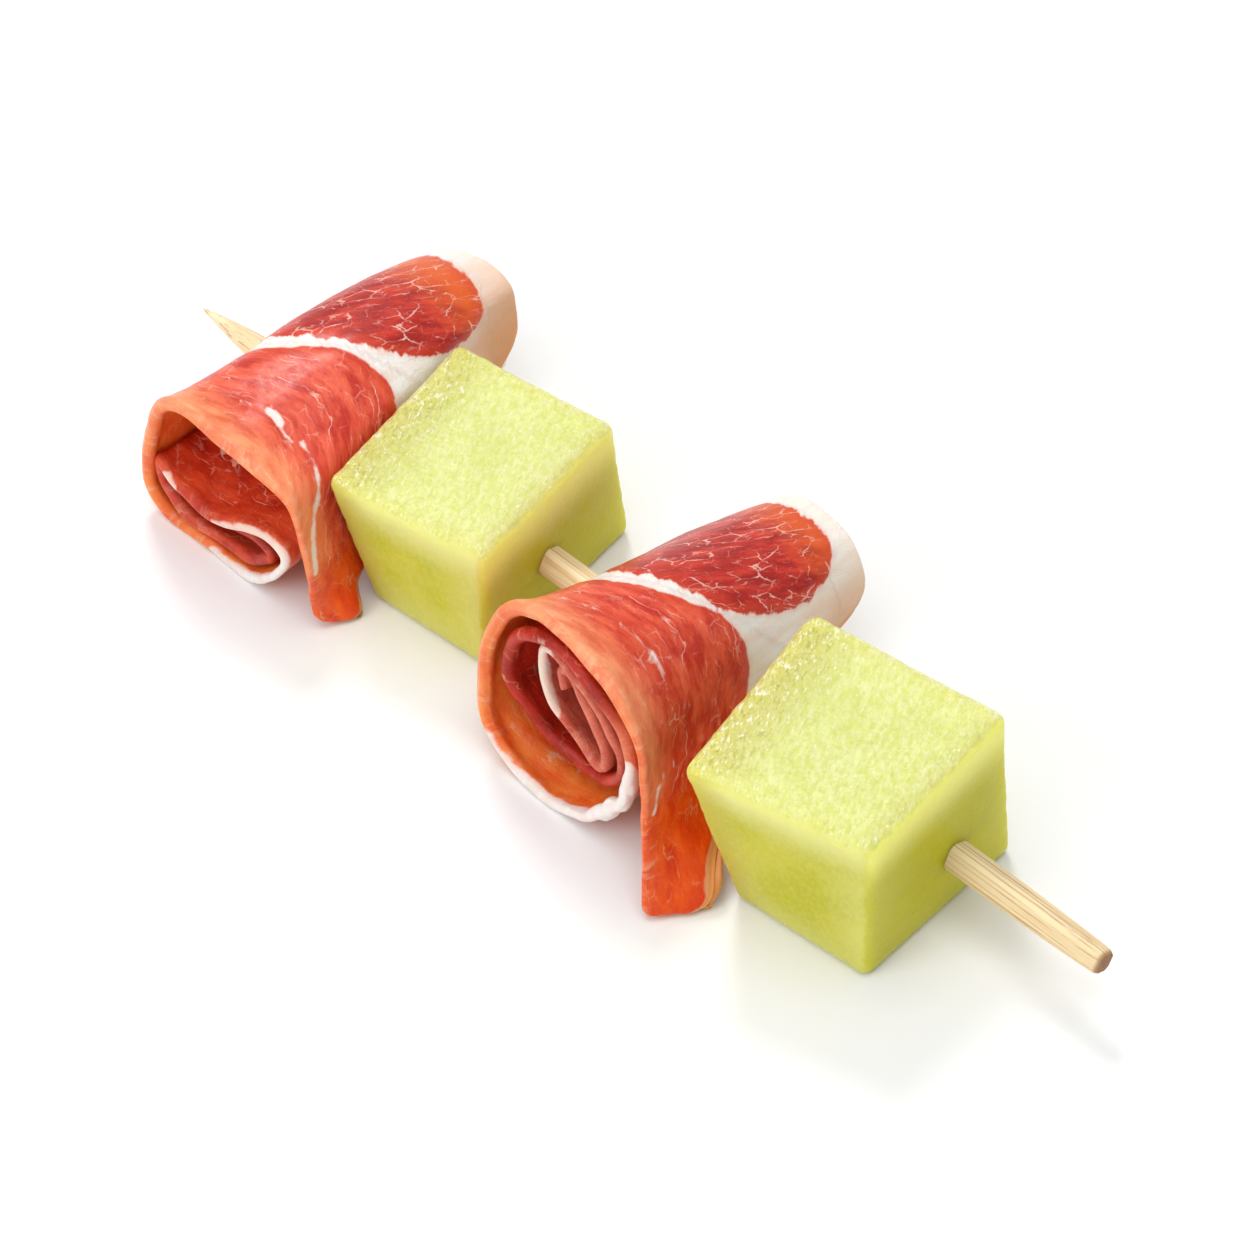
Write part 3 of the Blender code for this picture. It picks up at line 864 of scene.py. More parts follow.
# %% First ham table
HAM_THICKNESS = 1.1
FIRST_ROLL = {
    "foot": (-48.4, -22.6),  # (x, y) under the middle of the roll's mouth
    "yaw": 0.6,  # degrees, of the roll's axis away from +Y
    "length": 46.0,
    "middle_height": 10.95,
    "packed_towards": -90.0,  # degrees: the side that the inner turns lie against
    # path, half length, half height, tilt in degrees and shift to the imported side, at the mouth
    "mouth": (
        (0.00, 13.9, 13.9, 0.0, 0.0),
        (0.04, 14.2, 14.2, 0.0, 0.0),
        (0.09, 14.4, 14.4, 0.0, 0.0),
        (0.15, 12.2, 12.2, 0.0, 0.0),
        (0.20, 11.5, 11.5, 0.0, 0.0),
        (0.26, 11.5, 11.5, 0.0, 0.0),
        (0.36, 13.6, 13.6, 0.0, 0.0),
        (0.44, 12.9, 12.9, 0.0, 0.0),
        (0.53, 14.3, 14.3, 0.0, 0.0),
        (0.58, 15.8, 15.8, 0.0, 0.0),
        (0.62, 14.8, 14.8, 0.0, 0.0),
        (0.66, 12.0, 12.0, 0.0, 0.0),
        (0.72, 10.3, 10.3, 0.0, 0.0),
        (0.76, 10.2, 10.2, 0.0, 0.0),
        (0.82, 11.0, 11.0, 0.0, 0.0),
        (0.87, 11.2, 9.6, 0.0, 0.6),
        (0.93, 10.6, 7.3, 0.0, 1.7),
        (1.00, 10.1, 5.2, 0.0, 2.6),
        (1.10, 10.4, 4.2, 0.0, 3.6),
        (1.20, 10.7, 2.6, 0.0, 4.3),
        (1.30, 10.7, 0.8, 0.0, 4.6),
        (1.40, 11.1, 1.2, 0.0, 4.2),
        (1.45, 11.8, 1.8, 0.0, 3.3),
        (1.50, 12.5, 2.6, 0.0, 2.2),
        (1.60, 13.8, 5.4, 0.0, 3.0),
        (1.70, 12.4, 4.7, 0.0, 3.8),
        (1.85, 8.0, 4.4, 0.0, 4.0),
        (2.00, 6.6, 2.7, 0.0, 5.4),
        (2.10, 6.4, 1.6, 0.0, 5.8),
        (2.25, 7.0, 0.9, 0.0, 6.5),
        (2.42, 8.0, 0.9, 0.0, 6.7),
    ),
    "far_radius": 8.9,
    "far_middle": (-0.6, 9.7),
    "far_pitch": 1.75,  # the spiral's step inwards for each turn
    "belly": 1.6,  # how much fuller the roll is half way along than a plain cone
    # where the mouth opens out: direction and width in degrees, how far, and how deep it goes
    "flares": ((22.0, 26.0, 1.6, 3.0), (132.0, 26.0, 0.8, 10.0)),
    # path, mouth edge, far edge, both along the axis from the mouth
    "edges": (
        (-1.0, 0.2, 6.8),
        (-0.7, 0.2, 9.5),
        (-0.4, 0.2, 20.0),
        (-0.1, 0.0, 43.0),
        (0.05, 0.0, 46.0),
        (0.7, 0.0, 46.0),
        (0.85, -0.4, 45.5),
        (1.0, 0.0, 45.0),
        (1.5, 0.2, 44.0),
        (2.4, 2.0, 44.0),
    ),
    "tail_foot": (15.6, 19.9),  # across, of the tail's tip at its mouth side and its far side
    "tail_corners": (0.10, 0.12),  # how far its corners are rounded back, as shares of the tail
    "tail_drop": (0.6, 5.0),  # how the tail leaves the roll: outwards, downwards
    "tail_reach": (1.2, 4.0),  # how it comes to its tip: outwards, downwards
    "mouth_lean": 0.03,
    "far_lean": 0.17,
    "wobble": 0.4,
    # the melon cube beside it flattens its right side: the most "across" at the front of the
    # table, and how much less for each millimetre along and each millimetre up
    "pressed": (16.2, 0.174, 0.23),
}
print("first roll:", FIRST_ROLL["length"], "mm long, rows:", len(FIRST_ROLL["mouth"]))

# %% [markdown]
# ## The second roll
# The second slice is shorter, wound more evenly and packed towards its upper right, and its tail
# swings out further. It could share the first roll's table and only change some rows, but no two
# slices fold alike, so it has a table of its own, with the same kinds of rows.

# %% Second ham table
SECOND_ROLL = {
    "foot": (6.6, -20.6),
    "yaw": -4.0,
    "length": 43.0,
    "middle_height": 14.2,
    "packed_towards": 40.0,
    "mouth": (
        (0.00, 13.6, 13.6, 0.0, 0.0),
        (0.37, 13.0, 13.2, 0.0, 0.0),
        (0.50, 13.0, 13.5, 0.0, 0.0),
        (0.65, 14.2, 13.6, 0.0, 0.0),
        (0.80, 13.4, 13.5, 0.0, 0.0),
        (1.00, 12.0, 11.9, 0.0, 0.0),
        (1.25, 11.9, 10.3, -30.0, -0.1),
        (1.50, 10.7, 9.7, -40.0, 0.0),
        (1.75, 10.3, 8.3, -45.0, 0.4),
        (2.00, 9.9, 7.0, -50.0, 0.8),
        (2.25, 9.4, 5.6, -50.0, 1.4),
        (2.50, 8.8, 4.2, -50.0, 2.0),
        (2.75, 8.0, 3.4, -50.0, 2.4),
        (3.00, 7.2, 2.5, -50.0, 2.3),
        (3.50, 5.2, 1.6, -50.0, 2.4),
    ),
    "far_radius": 8.7,
    "far_middle": (0.3, 10.2),
    "far_pitch": 1.7,
    "belly": 0.2,
    "flares": ((20.0, 36.0, 1.8, 3.5), (118.0, 32.0, 1.7, 12.0)),
    "edges": (
        (-1.0, -5.3, 2.8),
        (-0.7, -4.0, 7.0),
        (-0.4, -2.2, 20.0),
        (-0.2, -1.0, 38.0),
        (-0.1, -0.5, 42.0),
        (0.05, 0.0, 43.0),
        (0.5, -0.4, 43.0),
        (0.65, -1.2, 43.0),
        (0.8, -0.8, 43.0),
        (1.0, 0.0, 42.5),
        (1.35, 0.4, 42.0),
        (1.75, 2.8, 41.0),
        (2.2, 1.2, 41.0),
        (2.75, 1.8, 41.0),
        (3.5, 1.6, 41.0),
    ),
    "tail_foot": (21.0, 26.5),
    "tail_corners": (0.02, 0.16),
    "tail_drop": (1.8, 4.0),
    "tail_reach": (2.0, 5.0),
    "mouth_lean": 0.10,
    "far_lean": 0.17,
    "wobble": 1.7,
    "pressed": (25.2, 0.30, 0.18),
}
HAM_ROLLS = {"ham_roll_1": FIRST_ROLL, "ham_roll_2": SECOND_ROLL}
print("ham rolls:", ", ".join(HAM_ROLLS))

# %% [markdown]
# ## Curves through the tables
# The tables give only a few rows, and the slice needs hundreds of places between them. Straight
# lines between the rows would leave creases. These curves are smooth and never swing past a row.


# %% Reading the tables
def read_keys(keys, q):
    """Smooth curves through rows of (q, values...), read at q: one array for each column."""
    table = np.array(keys, float)
    knots, values = table[:, 0], table[:, 1:]
    rise = np.diff(values, axis=0) / np.diff(knots)[:, None]
    before, after = rise[:-1], rise[1:]
    same_way = before * after > 0
    inner = np.where(same_way, 2 * before * after / np.where(same_way, before + after, 1), 0)
    slopes = np.concatenate([rise[:1], inner, rise[-1:]])
    q = np.clip(q, knots[0], knots[-1])
    i = np.clip(np.searchsorted(knots, q, side="right") - 1, 0, len(knots) - 2)
    step = (knots[i + 1] - knots[i])[..., None]
    s = ((q - knots[i]) / (knots[i + 1] - knots[i]))[..., None]
    start, start_slope = (1 + 2 * s) * (1 - s) ** 2 * values[i], s * (1 - s) ** 2 * step * slopes[i]
    end, end_slope = s**2 * (3 - 2 * s) * values[i + 1], s**2 * (1 - s) * step * slopes[i + 1]
    return np.moveaxis(start + start_slope + end - end_slope, -1, 0)


def ease(low, high, value):
    """0 below low, 1 above high, and a soft step between."""
    s = np.clip((value - low) / (high - low), 0, 1)
    return s * s * (3 - 2 * s)


half_way = read_keys(FIRST_ROLL["mouth"], np.array([0.5]))
print("first roll, half a turn round its mouth:", half_way[0].round(2), "mm from its middle")

# %% [markdown]
# ## The roll
# Seen from its mouth the slice is a spiral, flattened by its own weight, and at the far end it is a
# smaller and rounder one. The turns between are mixed from the two. The mouth opens out in places,
# and the melon cube beside the roll presses its side flat. The whole form could be sculpted
# instead, but rows of half lengths and half heights can be read, compared with the solid and
# changed one at a time.

# %% Roll shape
PRESS_SOFTNESS = 0.5
PRESS_FROM = 6.0  # how far from the mouth the cube's nearest corner lies


def flare(roll, path, along):
    """How far the outermost turn opens out at the mouth."""
    degrees = 360 * path
    return sum(
        amount * np.exp(-(((degrees - direction) / width) ** 2) - np.maximum(along, 0) / depth)
        for direction, width, amount, depth in roll["flares"]
    )


def flattened(roll, u, path, along, w):
    """u, kept off the melon cube at the roll's right side, with room for the turns outside it."""
    front, less_along, less_up = roll["pressed"]
    inset = roll["far_pitch"] * np.maximum(path, 0)
    most = front - less_along * (along - PRESS_FROM) - less_up * w - inset
    return most - PRESS_SOFTNESS * np.logaddexp(0, (most - u) / PRESS_SOFTNESS)


opening = flare(FIRST_ROLL, 22.0 / 360, 0.0)
print("first roll opens out by up to", round(float(opening), 2), "mm")

# %% [markdown]
# ## The spiral
# Cut across at the mouth, the roll is a row of flattened turns, and at the far end a row of round
# ones. Each place on the slice is found on both, and then mixed by how far it lies between them. A
# curve drawn for each turn would also do, but the turns could then cross.

# %% Spiral
FAR_START = 0.1  # the part of the first turn that doesn't yet wind inwards at the far end
BELLY_SHIFT = 1.3
LONG_WAVE, SHORT_WAVE = 0.25, 0.2  # how far the roll's side waves in and out


def mouth_point(roll, path):
    """(across, up) on the spiral at the mouth, from the middle of the roll."""
    half_length, half_height, tilt, shift = read_keys(roll["mouth"], path)
    tilt, side = np.radians(tilt), math.radians(roll["packed_towards"])
    angle = 2 * np.pi * path
    along, aside = half_length * np.cos(angle - tilt), half_height * np.sin(angle - tilt)
    u = shift * math.cos(side) + along * np.cos(tilt) - aside * np.sin(tilt)
    return u, shift * math.sin(side) + along * np.sin(tilt) + aside * np.cos(tilt)


def far_point(roll, path):
    """(across, up) on the spiral at the far end, from the middle of the roll."""
    angle = 2 * np.pi * path
    radius = roll["far_radius"] - roll["far_pitch"] * np.maximum(path - FAR_START, 0)
    u = roll["far_middle"][0] + radius * np.cos(angle)
    return u, roll["far_middle"][1] + radius * np.sin(angle) - roll["middle_height"]


def roll_swell(roll, path, reach):
    """How far the roll stands out between its two ends."""
    angle, phase = 2 * np.pi * path, roll["wobble"]
    swell = LONG_WAVE * np.sin(3 * angle + phase + 5 * reach)
    swell = swell + SHORT_WAVE * np.sin(2 * angle + 4 * phase - 7 * reach)
    swell = swell + roll["belly"] * np.sin(np.pi * reach**BELLY_SHIFT)
    return swell + flare(roll, path, reach * roll["length"])


def spiral_point(roll, path, reach):
    """(across, up) on the roll. reach runs from 0 at the mouth to 1 at the far end."""
    angle = 2 * np.pi * path
    mouth_u, mouth_w = mouth_point(roll, path)
    far_u, far_w = far_point(roll, path)
    swell = roll_swell(roll, path, reach)
    upper = ease(-0.9, -0.2, np.sin(angle))
    u = mouth_u + (far_u - mouth_u) * reach + swell * np.cos(angle)
    w = mouth_w + (far_w - mouth_w) * reach + swell * np.sin(angle) * upper
    w = w + roll["middle_height"]
    return flattened(roll, u, path, reach * roll["length"], w), w


top = spiral_point(FIRST_ROLL, np.array([0.25]), np.array([0.0]))[1]
print("top of the first roll at its mouth:", top.round(1), "mm up")

# %% [markdown]
# ## The tail, and the whole slice
# The loose end of the slice leaves the roll over its right shoulder and hangs down to the table. It
# is one smooth curve with four control points, and towards the far end it goes over into the turn
# under the roll. A point of the whole slice then comes from the tail where its path is below zero,
# and from the spiral elsewhere. A tail modelled on its own and joined on would show a seam at the
# shoulder.

# %% Tail and slice
ROOT_REACH = 0.12
UNDER_TURN = 0.22
TAIL_HOLD = (0.05, 0.7)  # the shares of the roll's length over which the tail is held against it
BESIDE_CUBE = (4.5, 7.5)


def tail_point(roll, path, share):
    """(across, up) on the hanging tail. share runs from 0 at its mouth side to 1 at its far side."""
    root_u, root_w = spiral_point(roll, np.zeros_like(path), ROOT_REACH * share)
    foot_u = roll["tail_foot"][0] + (roll["tail_foot"][1] - roll["tail_foot"][0]) * share
    foot_w = HAM_THICKNESS / 2
    near, far = roll["tail_corners"]
    corner = near * np.clip(1 - 2 * share, 0, 1) ** 3 + far * np.clip(2 * share - 1, 0, 1) ** 3
    s = np.clip(-path - corner * ease(-0.5, -1.0, path), 0, 1)
    drop, reach = roll["tail_drop"], roll["tail_reach"]
    bend_u = (root_u, root_u + drop[0], foot_u - reach[0], foot_u)
    bend_w = (root_w, root_w - drop[1], foot_w + reach[1], foot_w)
    weights = ((1 - s) ** 3, 3 * s * (1 - s) ** 2, 3 * s * s * (1 - s), s**3)
    u = sum(weight * place for weight, place in zip(weights, bend_u))
    return u, sum(weight * place for weight, place in zip(weights, bend_w))


def slice_point(roll, path, share):
    """A point of the slice's middle layer: (across, along, up)."""
    mouth_edge, far_edge = read_keys(roll["edges"], path)
    along = mouth_edge + (far_edge - mouth_edge) * share
    reach = np.clip(along / roll["length"], 0, 1)
    rolled_u, rolled_w = spiral_point(roll, np.maximum(path, 0), reach)
    under_u, under_w = spiral_point(roll, path * UNDER_TURN, reach)
    hung_u, hung_w = tail_point(roll, path, share)
    hold = ease(*TAIL_HOLD, reach)
    hung_u, hung_w = hung_u + (under_u - hung_u) * hold, hung_w + (under_w - hung_w) * hold
    beside = ease(*BESIDE_CUBE, along)
    hung_u = hung_u + (flattened(roll, hung_u, path, along, hung_w) - hung_u) * beside
    u = np.where(path < 0, hung_u, rolled_u)
    w = np.where(path < 0, hung_w, rolled_w)
    lean = roll["mouth_lean"] + (roll["far_lean"] - roll["mouth_lean"]) * reach
    return u, along + lean * (w - roll["middle_height"]) * ease(-0.6, 0.1, path), w


tip = slice_point(FIRST_ROLL, np.array([-1.0]), np.array([0.5]))
print("tip of the first tail:", np.round(tip, 1).reshape(-1), "mm across, along and up")

# %% [markdown]
# ## A grid over the slice
# The slice is sampled as a grid of rows along its path and columns across it. Evenly spaced lines
# would waste faces inside the roll, where little shows, so they are set closer on the outer turn
# and the tail, and closest near the edges, which must look soft and rounded.

# %% Ham grid
ROWS = 430
COLUMNS = 104
PATH_SAMPLES = 6000
INNER_TURNS, INNER_SPACING = 1.15, 0.55  # from this path on, lengths count only so much
ROW_CROWDING = (12.0, 6.0)
COLUMN_CROWDING = (14.0, 8.0)
CROWDED_SHARE = 0.05
SPACED_AT = 0.1  # the share across the slice at which the rows are spaced


def crowd_ends(count, start, end):
    """Shares from 0 to 1 that lie closer together at the start and the end."""
    t = np.linspace(0, 1, count)
    pace = 1 / (1 + start * np.exp(-t / CROWDED_SHARE) + end * np.exp(-(1 - t) / CROWDED_SHARE))
    gone = np.concatenate([[0], np.cumsum((pace[1:] + pace[:-1]) / 2)])
    return gone / gone[-1]


def slice_rows(roll):
    """Values of path, closer together on the outer turn and the tail than inside."""
    path = np.linspace(-1, roll["edges"][-1][0], PATH_SAMPLES)
    points = np.stack(slice_point(roll, path, np.full_like(path, SPACED_AT)), axis=-1)
    wanted = np.where(path[1:] > INNER_TURNS, INNER_SPACING, 1.0)
    gaps = np.linalg.norm(np.diff(points, axis=0), axis=1) * wanted
    gone = np.concatenate([[0], np.cumsum(gaps)])
    return np.interp(crowd_ends(ROWS, *ROW_CROWDING) * gone[-1], gone, path)


print("each slice is a grid of", ROWS, "by", COLUMNS)

# %% [markdown]
# ## From a sheet to a body with two skins
# A sheet without thickness can't be a real thing. A Solidify modifier would thicken it with square
# edges. Here one skin lies half a thickness inwards and the other half a thickness outwards, that
# half thickness falls to nothing at the rim in a half circle, and the two skins share the points
# there. The slice is then one closed body with rounded edges.


# %% Two skins
def distances(points, axis):
    """How far each point of a grid lies from the grid's first row, or column, along the sheet."""
    gaps = np.linalg.norm(np.diff(points, axis=axis), axis=-1)
    start = np.zeros_like(np.take(gaps, [0], axis=axis))
    return np.cumsum(np.concatenate([start, gaps], axis=axis), axis=axis)


def rim_share(distance, half):
    """1 inside the sheet, falling to 0 at its rim in a half circle."""
    near = np.clip(1 - distance / half, 0, 1)
    return np.sqrt(np.clip(1 - near * near, 0, 1))


def sheet_normals(points):
    """The direction that points into the roll, at each point of the grid."""
    normals = np.cross(np.gradient(points, axis=0), np.gradient(points, axis=1))
    return normals / np.maximum(np.linalg.norm(normals, axis=-1, keepdims=True), 1e-12)


def skin_faces(rows, columns):
    """Faces of the inner and the outer skin, which share the points of their rim. All face outwards."""
    inner = np.arange(rows * columns).reshape(rows, columns)
    outer = inner.copy()
    within = (rows - 2, columns - 2)
    outer[1:-1, 1:-1] = rows * columns + np.arange(within[0] * within[1]).reshape(within)
    faces = []
    for skin, order in ((inner, -1), (outer, 1)):
        corners = np.stack([skin[:-1, :-1], skin[:-1, 1:], skin[1:, 1:], skin[1:, :-1]], axis=-1)
        faces.append(corners.reshape(-1, 4)[:, ::order])
    return np.concatenate(faces).tolist()


def on_both_skins(inner, outer):
    """A value for every point of the body, from its values on the grid's two skins."""
    tail = outer.shape[2:]
    return np.concatenate([inner.reshape(-1, *tail), outer[1:-1, 1:-1].reshape(-1, *tail)])


print("a grid of 3 by 3 points has", len(skin_faces(3, 3)), "faces on its two skins")

# %% [markdown]
# ## What grows in the slice
# A ham slice is a map of the leg: a few muscles, each with its own dark red, kept apart by white
# seams of fat, and a thick band of fat along the far edge, under the skin. Fat goes right through,
# so both skins show the same map. It could be painted on the mesh. Here each muscle is given by a
# few points of its outline on the flat slice: millimetres along the path from the roll's right
# side, and millimetres from the mouth.

# %% Muscles and fat on the first slice
FIRST_MAP = {
    # the outline of each muscle
    "lean": (
        (
            (-30, -8), (400, -8), (400, 26), (100, 24), (60, 12), (46, 10.5), (34, 13), (26.9, 15.5),
            (24.3, 17.5), (22.4, 19.2), (20.4, 20.8), (19.1, 21.6), (17.5, 22.0), (15.3, 22.4),
            (13.6, 22.8), (11.9, 22.5), (9.5, 21.6), (6.5, 20.8), (3, 19), (-2, 16), (-8, 12),
            (-14, 7.5), (-30, 6),
        ),
        (
            (9.9, 37.7), (10.3, 34.3), (11.5, 31.1), (14.2, 27.7), (16.7, 25.0), (18.7, 23.6),
            (21.4, 21.9), (24.2, 20.4), (26.1, 19.2), (29.5, 17.2), (36, 18), (42, 23), (45, 31),
            (42, 39), (35, 42.6), (27, 43.2), (22.7, 43.2), (18.1, 42.6), (14.9, 41.8), (12.3, 40.5),
        ),
    ),
    # thin fat that splits a muscle: half its width, and its line
    "seams": (
        (0.08, ((23.2, 7.0), (21.6, 7.7), (20, 8.2), (18.6, 8.3))),
        (0.50, ((19.8, 8.3), (18.5, 8.4), (17.5, 8.0))),
        (0.22, ((18.0, 8.2), (16.6, 7.4), (14.8, 7.2))),
        (0.20, ((13.8, 8.1), (11.2, 7.4), (9.1, 6.1), (7.2, 4.6))),
        (0.42, ((7.6, 5.0), (5.9, 3.2), (3.8, 2.1), (1.5, 1.5), (-2.0, 1.0))),
    ),
    # how wide the white is at the mouth's edge, from place to place along the path
    "white_rim": (
        (54, -3), (60, 0.2), (66, 0.9), (74, 0.8), (84, 0.6), (90, 0.3), (95, -3), (97, 0.2),
        (99, 0.6),
        (101, -3),
    ),
    # one line that the fibres of the first muscle follow
    "flow": (
        (-16, 0), (-10, 0), (0, 1), (4, 2.2), (8, 5), (12, 7.6), (17, 9.5), (22, 8.5), (28, 6),
        (40, 5),
        (400, 5),
    ),
}
print("first slice:", len(FIRST_MAP["lean"]), "muscles,", len(FIRST_MAP["seams"]), "seams")

# %% [markdown]
# ## The second slice's map
# The second slice was cut from the same leg, so its two muscles have nearly the same outlines, but
# they have moved a little and its seams run another way. Copying the first map would be quicker,
# and the two rolls would look like twins.

# %% Muscles and fat on the second slice
SECOND_MAP = {
    "lean": (
        (
            (-30, -10), (400, -10), (400, 26), (100, 24), (60, 12), (46, 9.5), (34, 10.8),
            (26.5, 12.6), (22.9, 15.2), (19.7, 17.0), (17.4, 18.7), (15.4, 20.2), (13.5, 21.1),
            (10.8, 21.9), (7.9, 22.0), (5.1, 21.4), (2.4, 20.4), (-2, 19), (-6, 15), (-10, 9),
            (-14, 5.0), (-18, 2.2), (-30, 0),
        ),
        (
            (9.4, 32.8), (9.8, 29.8), (11.5, 26.1), (14.5, 22.1), (16.9, 20.7), (19.4, 19.3),
            (22.3, 18.3), (23.9, 17.3), (26.1, 15.9), (30.7, 15.2), (38, 16.5), (43, 23), (44, 31),
            (40, 37), (34, 39.6), (25.5, 40.4), (20, 40.7), (15.1, 40.5), (12.4, 39.1), (10.2, 36.4),
        ),
    ),
    "seams": (
        (0.02, ((27.2, 6.3), (24.5, 7.2), (22.1, 8.1), (19.4, 8.9), (16.5, 9.4), (13.5, 9.2))),
        (0.24, ((15.2, 9.6), (13.6, 9.3), (12.2, 9.2))),
        (0.02, ((13.2, 9.2), (11.2, 8.7), (8.7, 8.2), (6.1, 7.5), (3.6, 6.7), (1.1, 5.7))),
        (0.04, ((13.8, 9.3), (15.2, 7.6), (17.4, 5.6))),
        (0.25, ((1.0, 3.6), (-1.6, 1.6), (-4.0, 0.4))),
    ),
    "white_rim": (
        (44, -3), (52, 0.1), (58, 0.6), (66, 1.2), (74, 2.4), (81, 2.2), (84, 0.3), (87, -3),
        (99, -3), (102, 0.6), (104, -3), (152, -3), (157, 0.2), (162, 1.1), (168, 0.8), (174, -3),
    ),
    "flow": (
        (-20, -3), (-10, -1), (-2, 2), (1, 5.7), (6, 7.5), (11, 8.7), (16.5, 9.5), (22, 8.1),
        (28, 6), (40, 5), (400, 5),
    ),
}
MUSCLES = {"ham_roll_1": FIRST_MAP, "ham_roll_2": SECOND_MAP}
print("muscles in each slice:", [len(chart["lean"]) for chart in MUSCLES.values()])

# %% [markdown]
# ## Inside or outside a muscle
# The finish needs to know how deep each point lies in lean meat, because the red is different near
# a border and deep inside. So the distance to every outline is measured, counted as below zero in
# the fat, and the seams and the white rim are cut out of the lean in the same way. A painted mask
# would be easier to draw, but it would blur at the border and couldn't say how deep a point lies.

# %% Distance to an outline
def round_outline(points, closed):
    """Cuts the corners off an outline twice, so that it runs smoothly."""
    line = np.array(points, float)
    for _ in range(2):
        following = np.roll(line, -1, axis=0) if closed else line[1:]
        here = line if closed else line[:-1]
        cut = np.stack([0.75 * here + 0.25 * following, 0.25 * here + 0.75 * following], axis=1)
        cut = cut.reshape(-1, 2)
        line = cut if closed else np.concatenate([line[:1], cut, line[-1:]])
    return line


def line_distance(places, line, closed):
    """How far each place lies from the nearest point of a line."""
    ends = np.roll(line, -1, axis=0) if closed else line[1:]
    starts = line if closed else line[:-1]
    nearest = np.full(len(places), np.inf)
    for start, end in zip(starts, ends):
        way = end - start
        share = np.clip(((places - start) @ way) / max(way @ way, 1e-12), 0, 1)
        nearest = np.minimum(nearest, np.linalg.norm(places - start - share[:, None] * way, axis=1))
    return nearest


def inside_outline(places, line):
    crossings = np.zeros(len(places), int)
    for start, end in zip(line, np.roll(line, -1, axis=0)):
        spans = (start[1] > places[:, 1]) != (end[1] > places[:, 1])
        rise = end[1] - start[1] if end[1] != start[1] else 1e-12
        border = start[0] + (places[:, 1] - start[1]) * (end[0] - start[0]) / rise
        crossings += spans & (places[:, 0] < border)
    return crossings % 2 == 1


smooth_line = round_outline(FIRST_MAP["lean"][0], True)
print("an outline of", len(FIRST_MAP["lean"][0]), "points is smoothed to", len(smooth_line))

# %% [markdown]
# ## How deep in the lean
# Lean meat ends in four ways: at the outline of a muscle, at a thin seam, at the white rim of the
# mouth and at the strip of fat along the tail. The least of the four distances counts. They could
# be four masks, but one depth is simpler to colour by.

# %% Depth in the lean
STRIP_WIDTH, TIP_STRIP_WIDTH = 1.1, 2.2  # the tail's strip of fat, and how much wider at its tip
STRIP_PLACES = (-7.0, -12.0)
TAIL_PLACES = -4.0
DEEPEST = 9.0  # where the tail's strip of fat plays no part


def muscle_depths(chart, places):
    """How deep each place lies in the nearest muscle, and which muscle that is."""
    depths = []
    for outline in chart["lean"]:
        line = round_outline(outline, True)
        distance = line_distance(places, line, True)
        depths.append(np.where(inside_outline(places, line), distance, -distance))
    return np.max(depths, axis=0), np.argmax(depths, axis=0).astype(float)


def lean_depth(chart, along, deep, rim, far):
    """How deep each place lies in lean meat, in millimetres, below zero in fat, and in which muscle."""
    places = np.stack([along, deep], axis=-1).reshape(-1, 2)
    lean, muscle = muscle_depths(chart, places)
    for half_width, points in chart["seams"]:
        distance = line_distance(places, round_outline(points, False), False)
        lean = np.minimum(lean, distance - half_width)
    lean = np.minimum(lean, rim.reshape(-1) - np.interp(places[:, 0], *zip(*chart["white_rim"])))
    strip = STRIP_WIDTH + TIP_STRIP_WIDTH * ease(*STRIP_PLACES, places[:, 0])
    tail_edge = np.where(places[:, 0] < TAIL_PLACES, far.reshape(-1) - strip, DEEPEST)
    return np.minimum(lean, tail_edge).reshape(along.shape), muscle.reshape(along.shape)


depth, number = muscle_depths(FIRST_MAP, np.array([[5.0, 10.0]]))
print("5 mm along and 10 mm in:", depth.round(1), "mm deep in muscle", number + 1)

# %% [markdown]
# ## Relief of the slice
# Ham doesn't lie flat. It swells softly, sinks a little along the fat seams, flutters at its rim,
# and is crumpled inside the roll. A bump would only shade this, and the outline would stay smooth,
# so the points of the sheet are moved before it gets its two skins.

# %% Relief
LIPS = {  # from and to along the path, and how much the mouth's edge is rolled over there
    "ham_roll_1": (12.0, 62.0, 0.75),
    "ham_roll_2": (10.0, 64.0, 0.9),
}
RUFFLES = {  # the same for the ruffle of fat
    "ham_roll_1": (64.0, 70.0, 0.25),
    "ham_roll_2": (70.0, 81.0, 1.1),
}
SEEDS = {"ham_roll_1": 3, "ham_roll_2": 7}
WANDER_SEEDS = {"ham_roll_1": 13, "ham_roll_2": 17}
SEAM_DEPTH = 0.22
SOFT_WAVES = ((0.22, 0.6, 6.0), (0.06, 1.0, 2.0))  # how high, how much closer across, how long
CRUMPLE = 0.28
CRUMPLE_PATH = (1.0, 1.5)
FLUTTER, FLUTTER_REACH = 0.28, 2.2
FRILL, FRILL_REACH = 0.5, 3.0
LIP_RISE, LIP_PLACE, LIP_WIDTH = 0.3, 2.2, 1.8


def waves(along, deep, size, seed):
    """Smooth waves over the flat slice, from -1 to 1, about size millimetres long."""
    flat = np.stack([along, deep, np.zeros_like(along)], axis=-1).reshape(-1, 3)
    return ripple(flat, size, seed).reshape(along.shape)


def stretch_of(limits, along, soft=6.0):
    """The amount between two places along the path, and 0 away from them."""
    start, end, amount = limits
    return amount * ease(start - soft, start + soft, along) * (1 - ease(end - soft, end + soft, along))


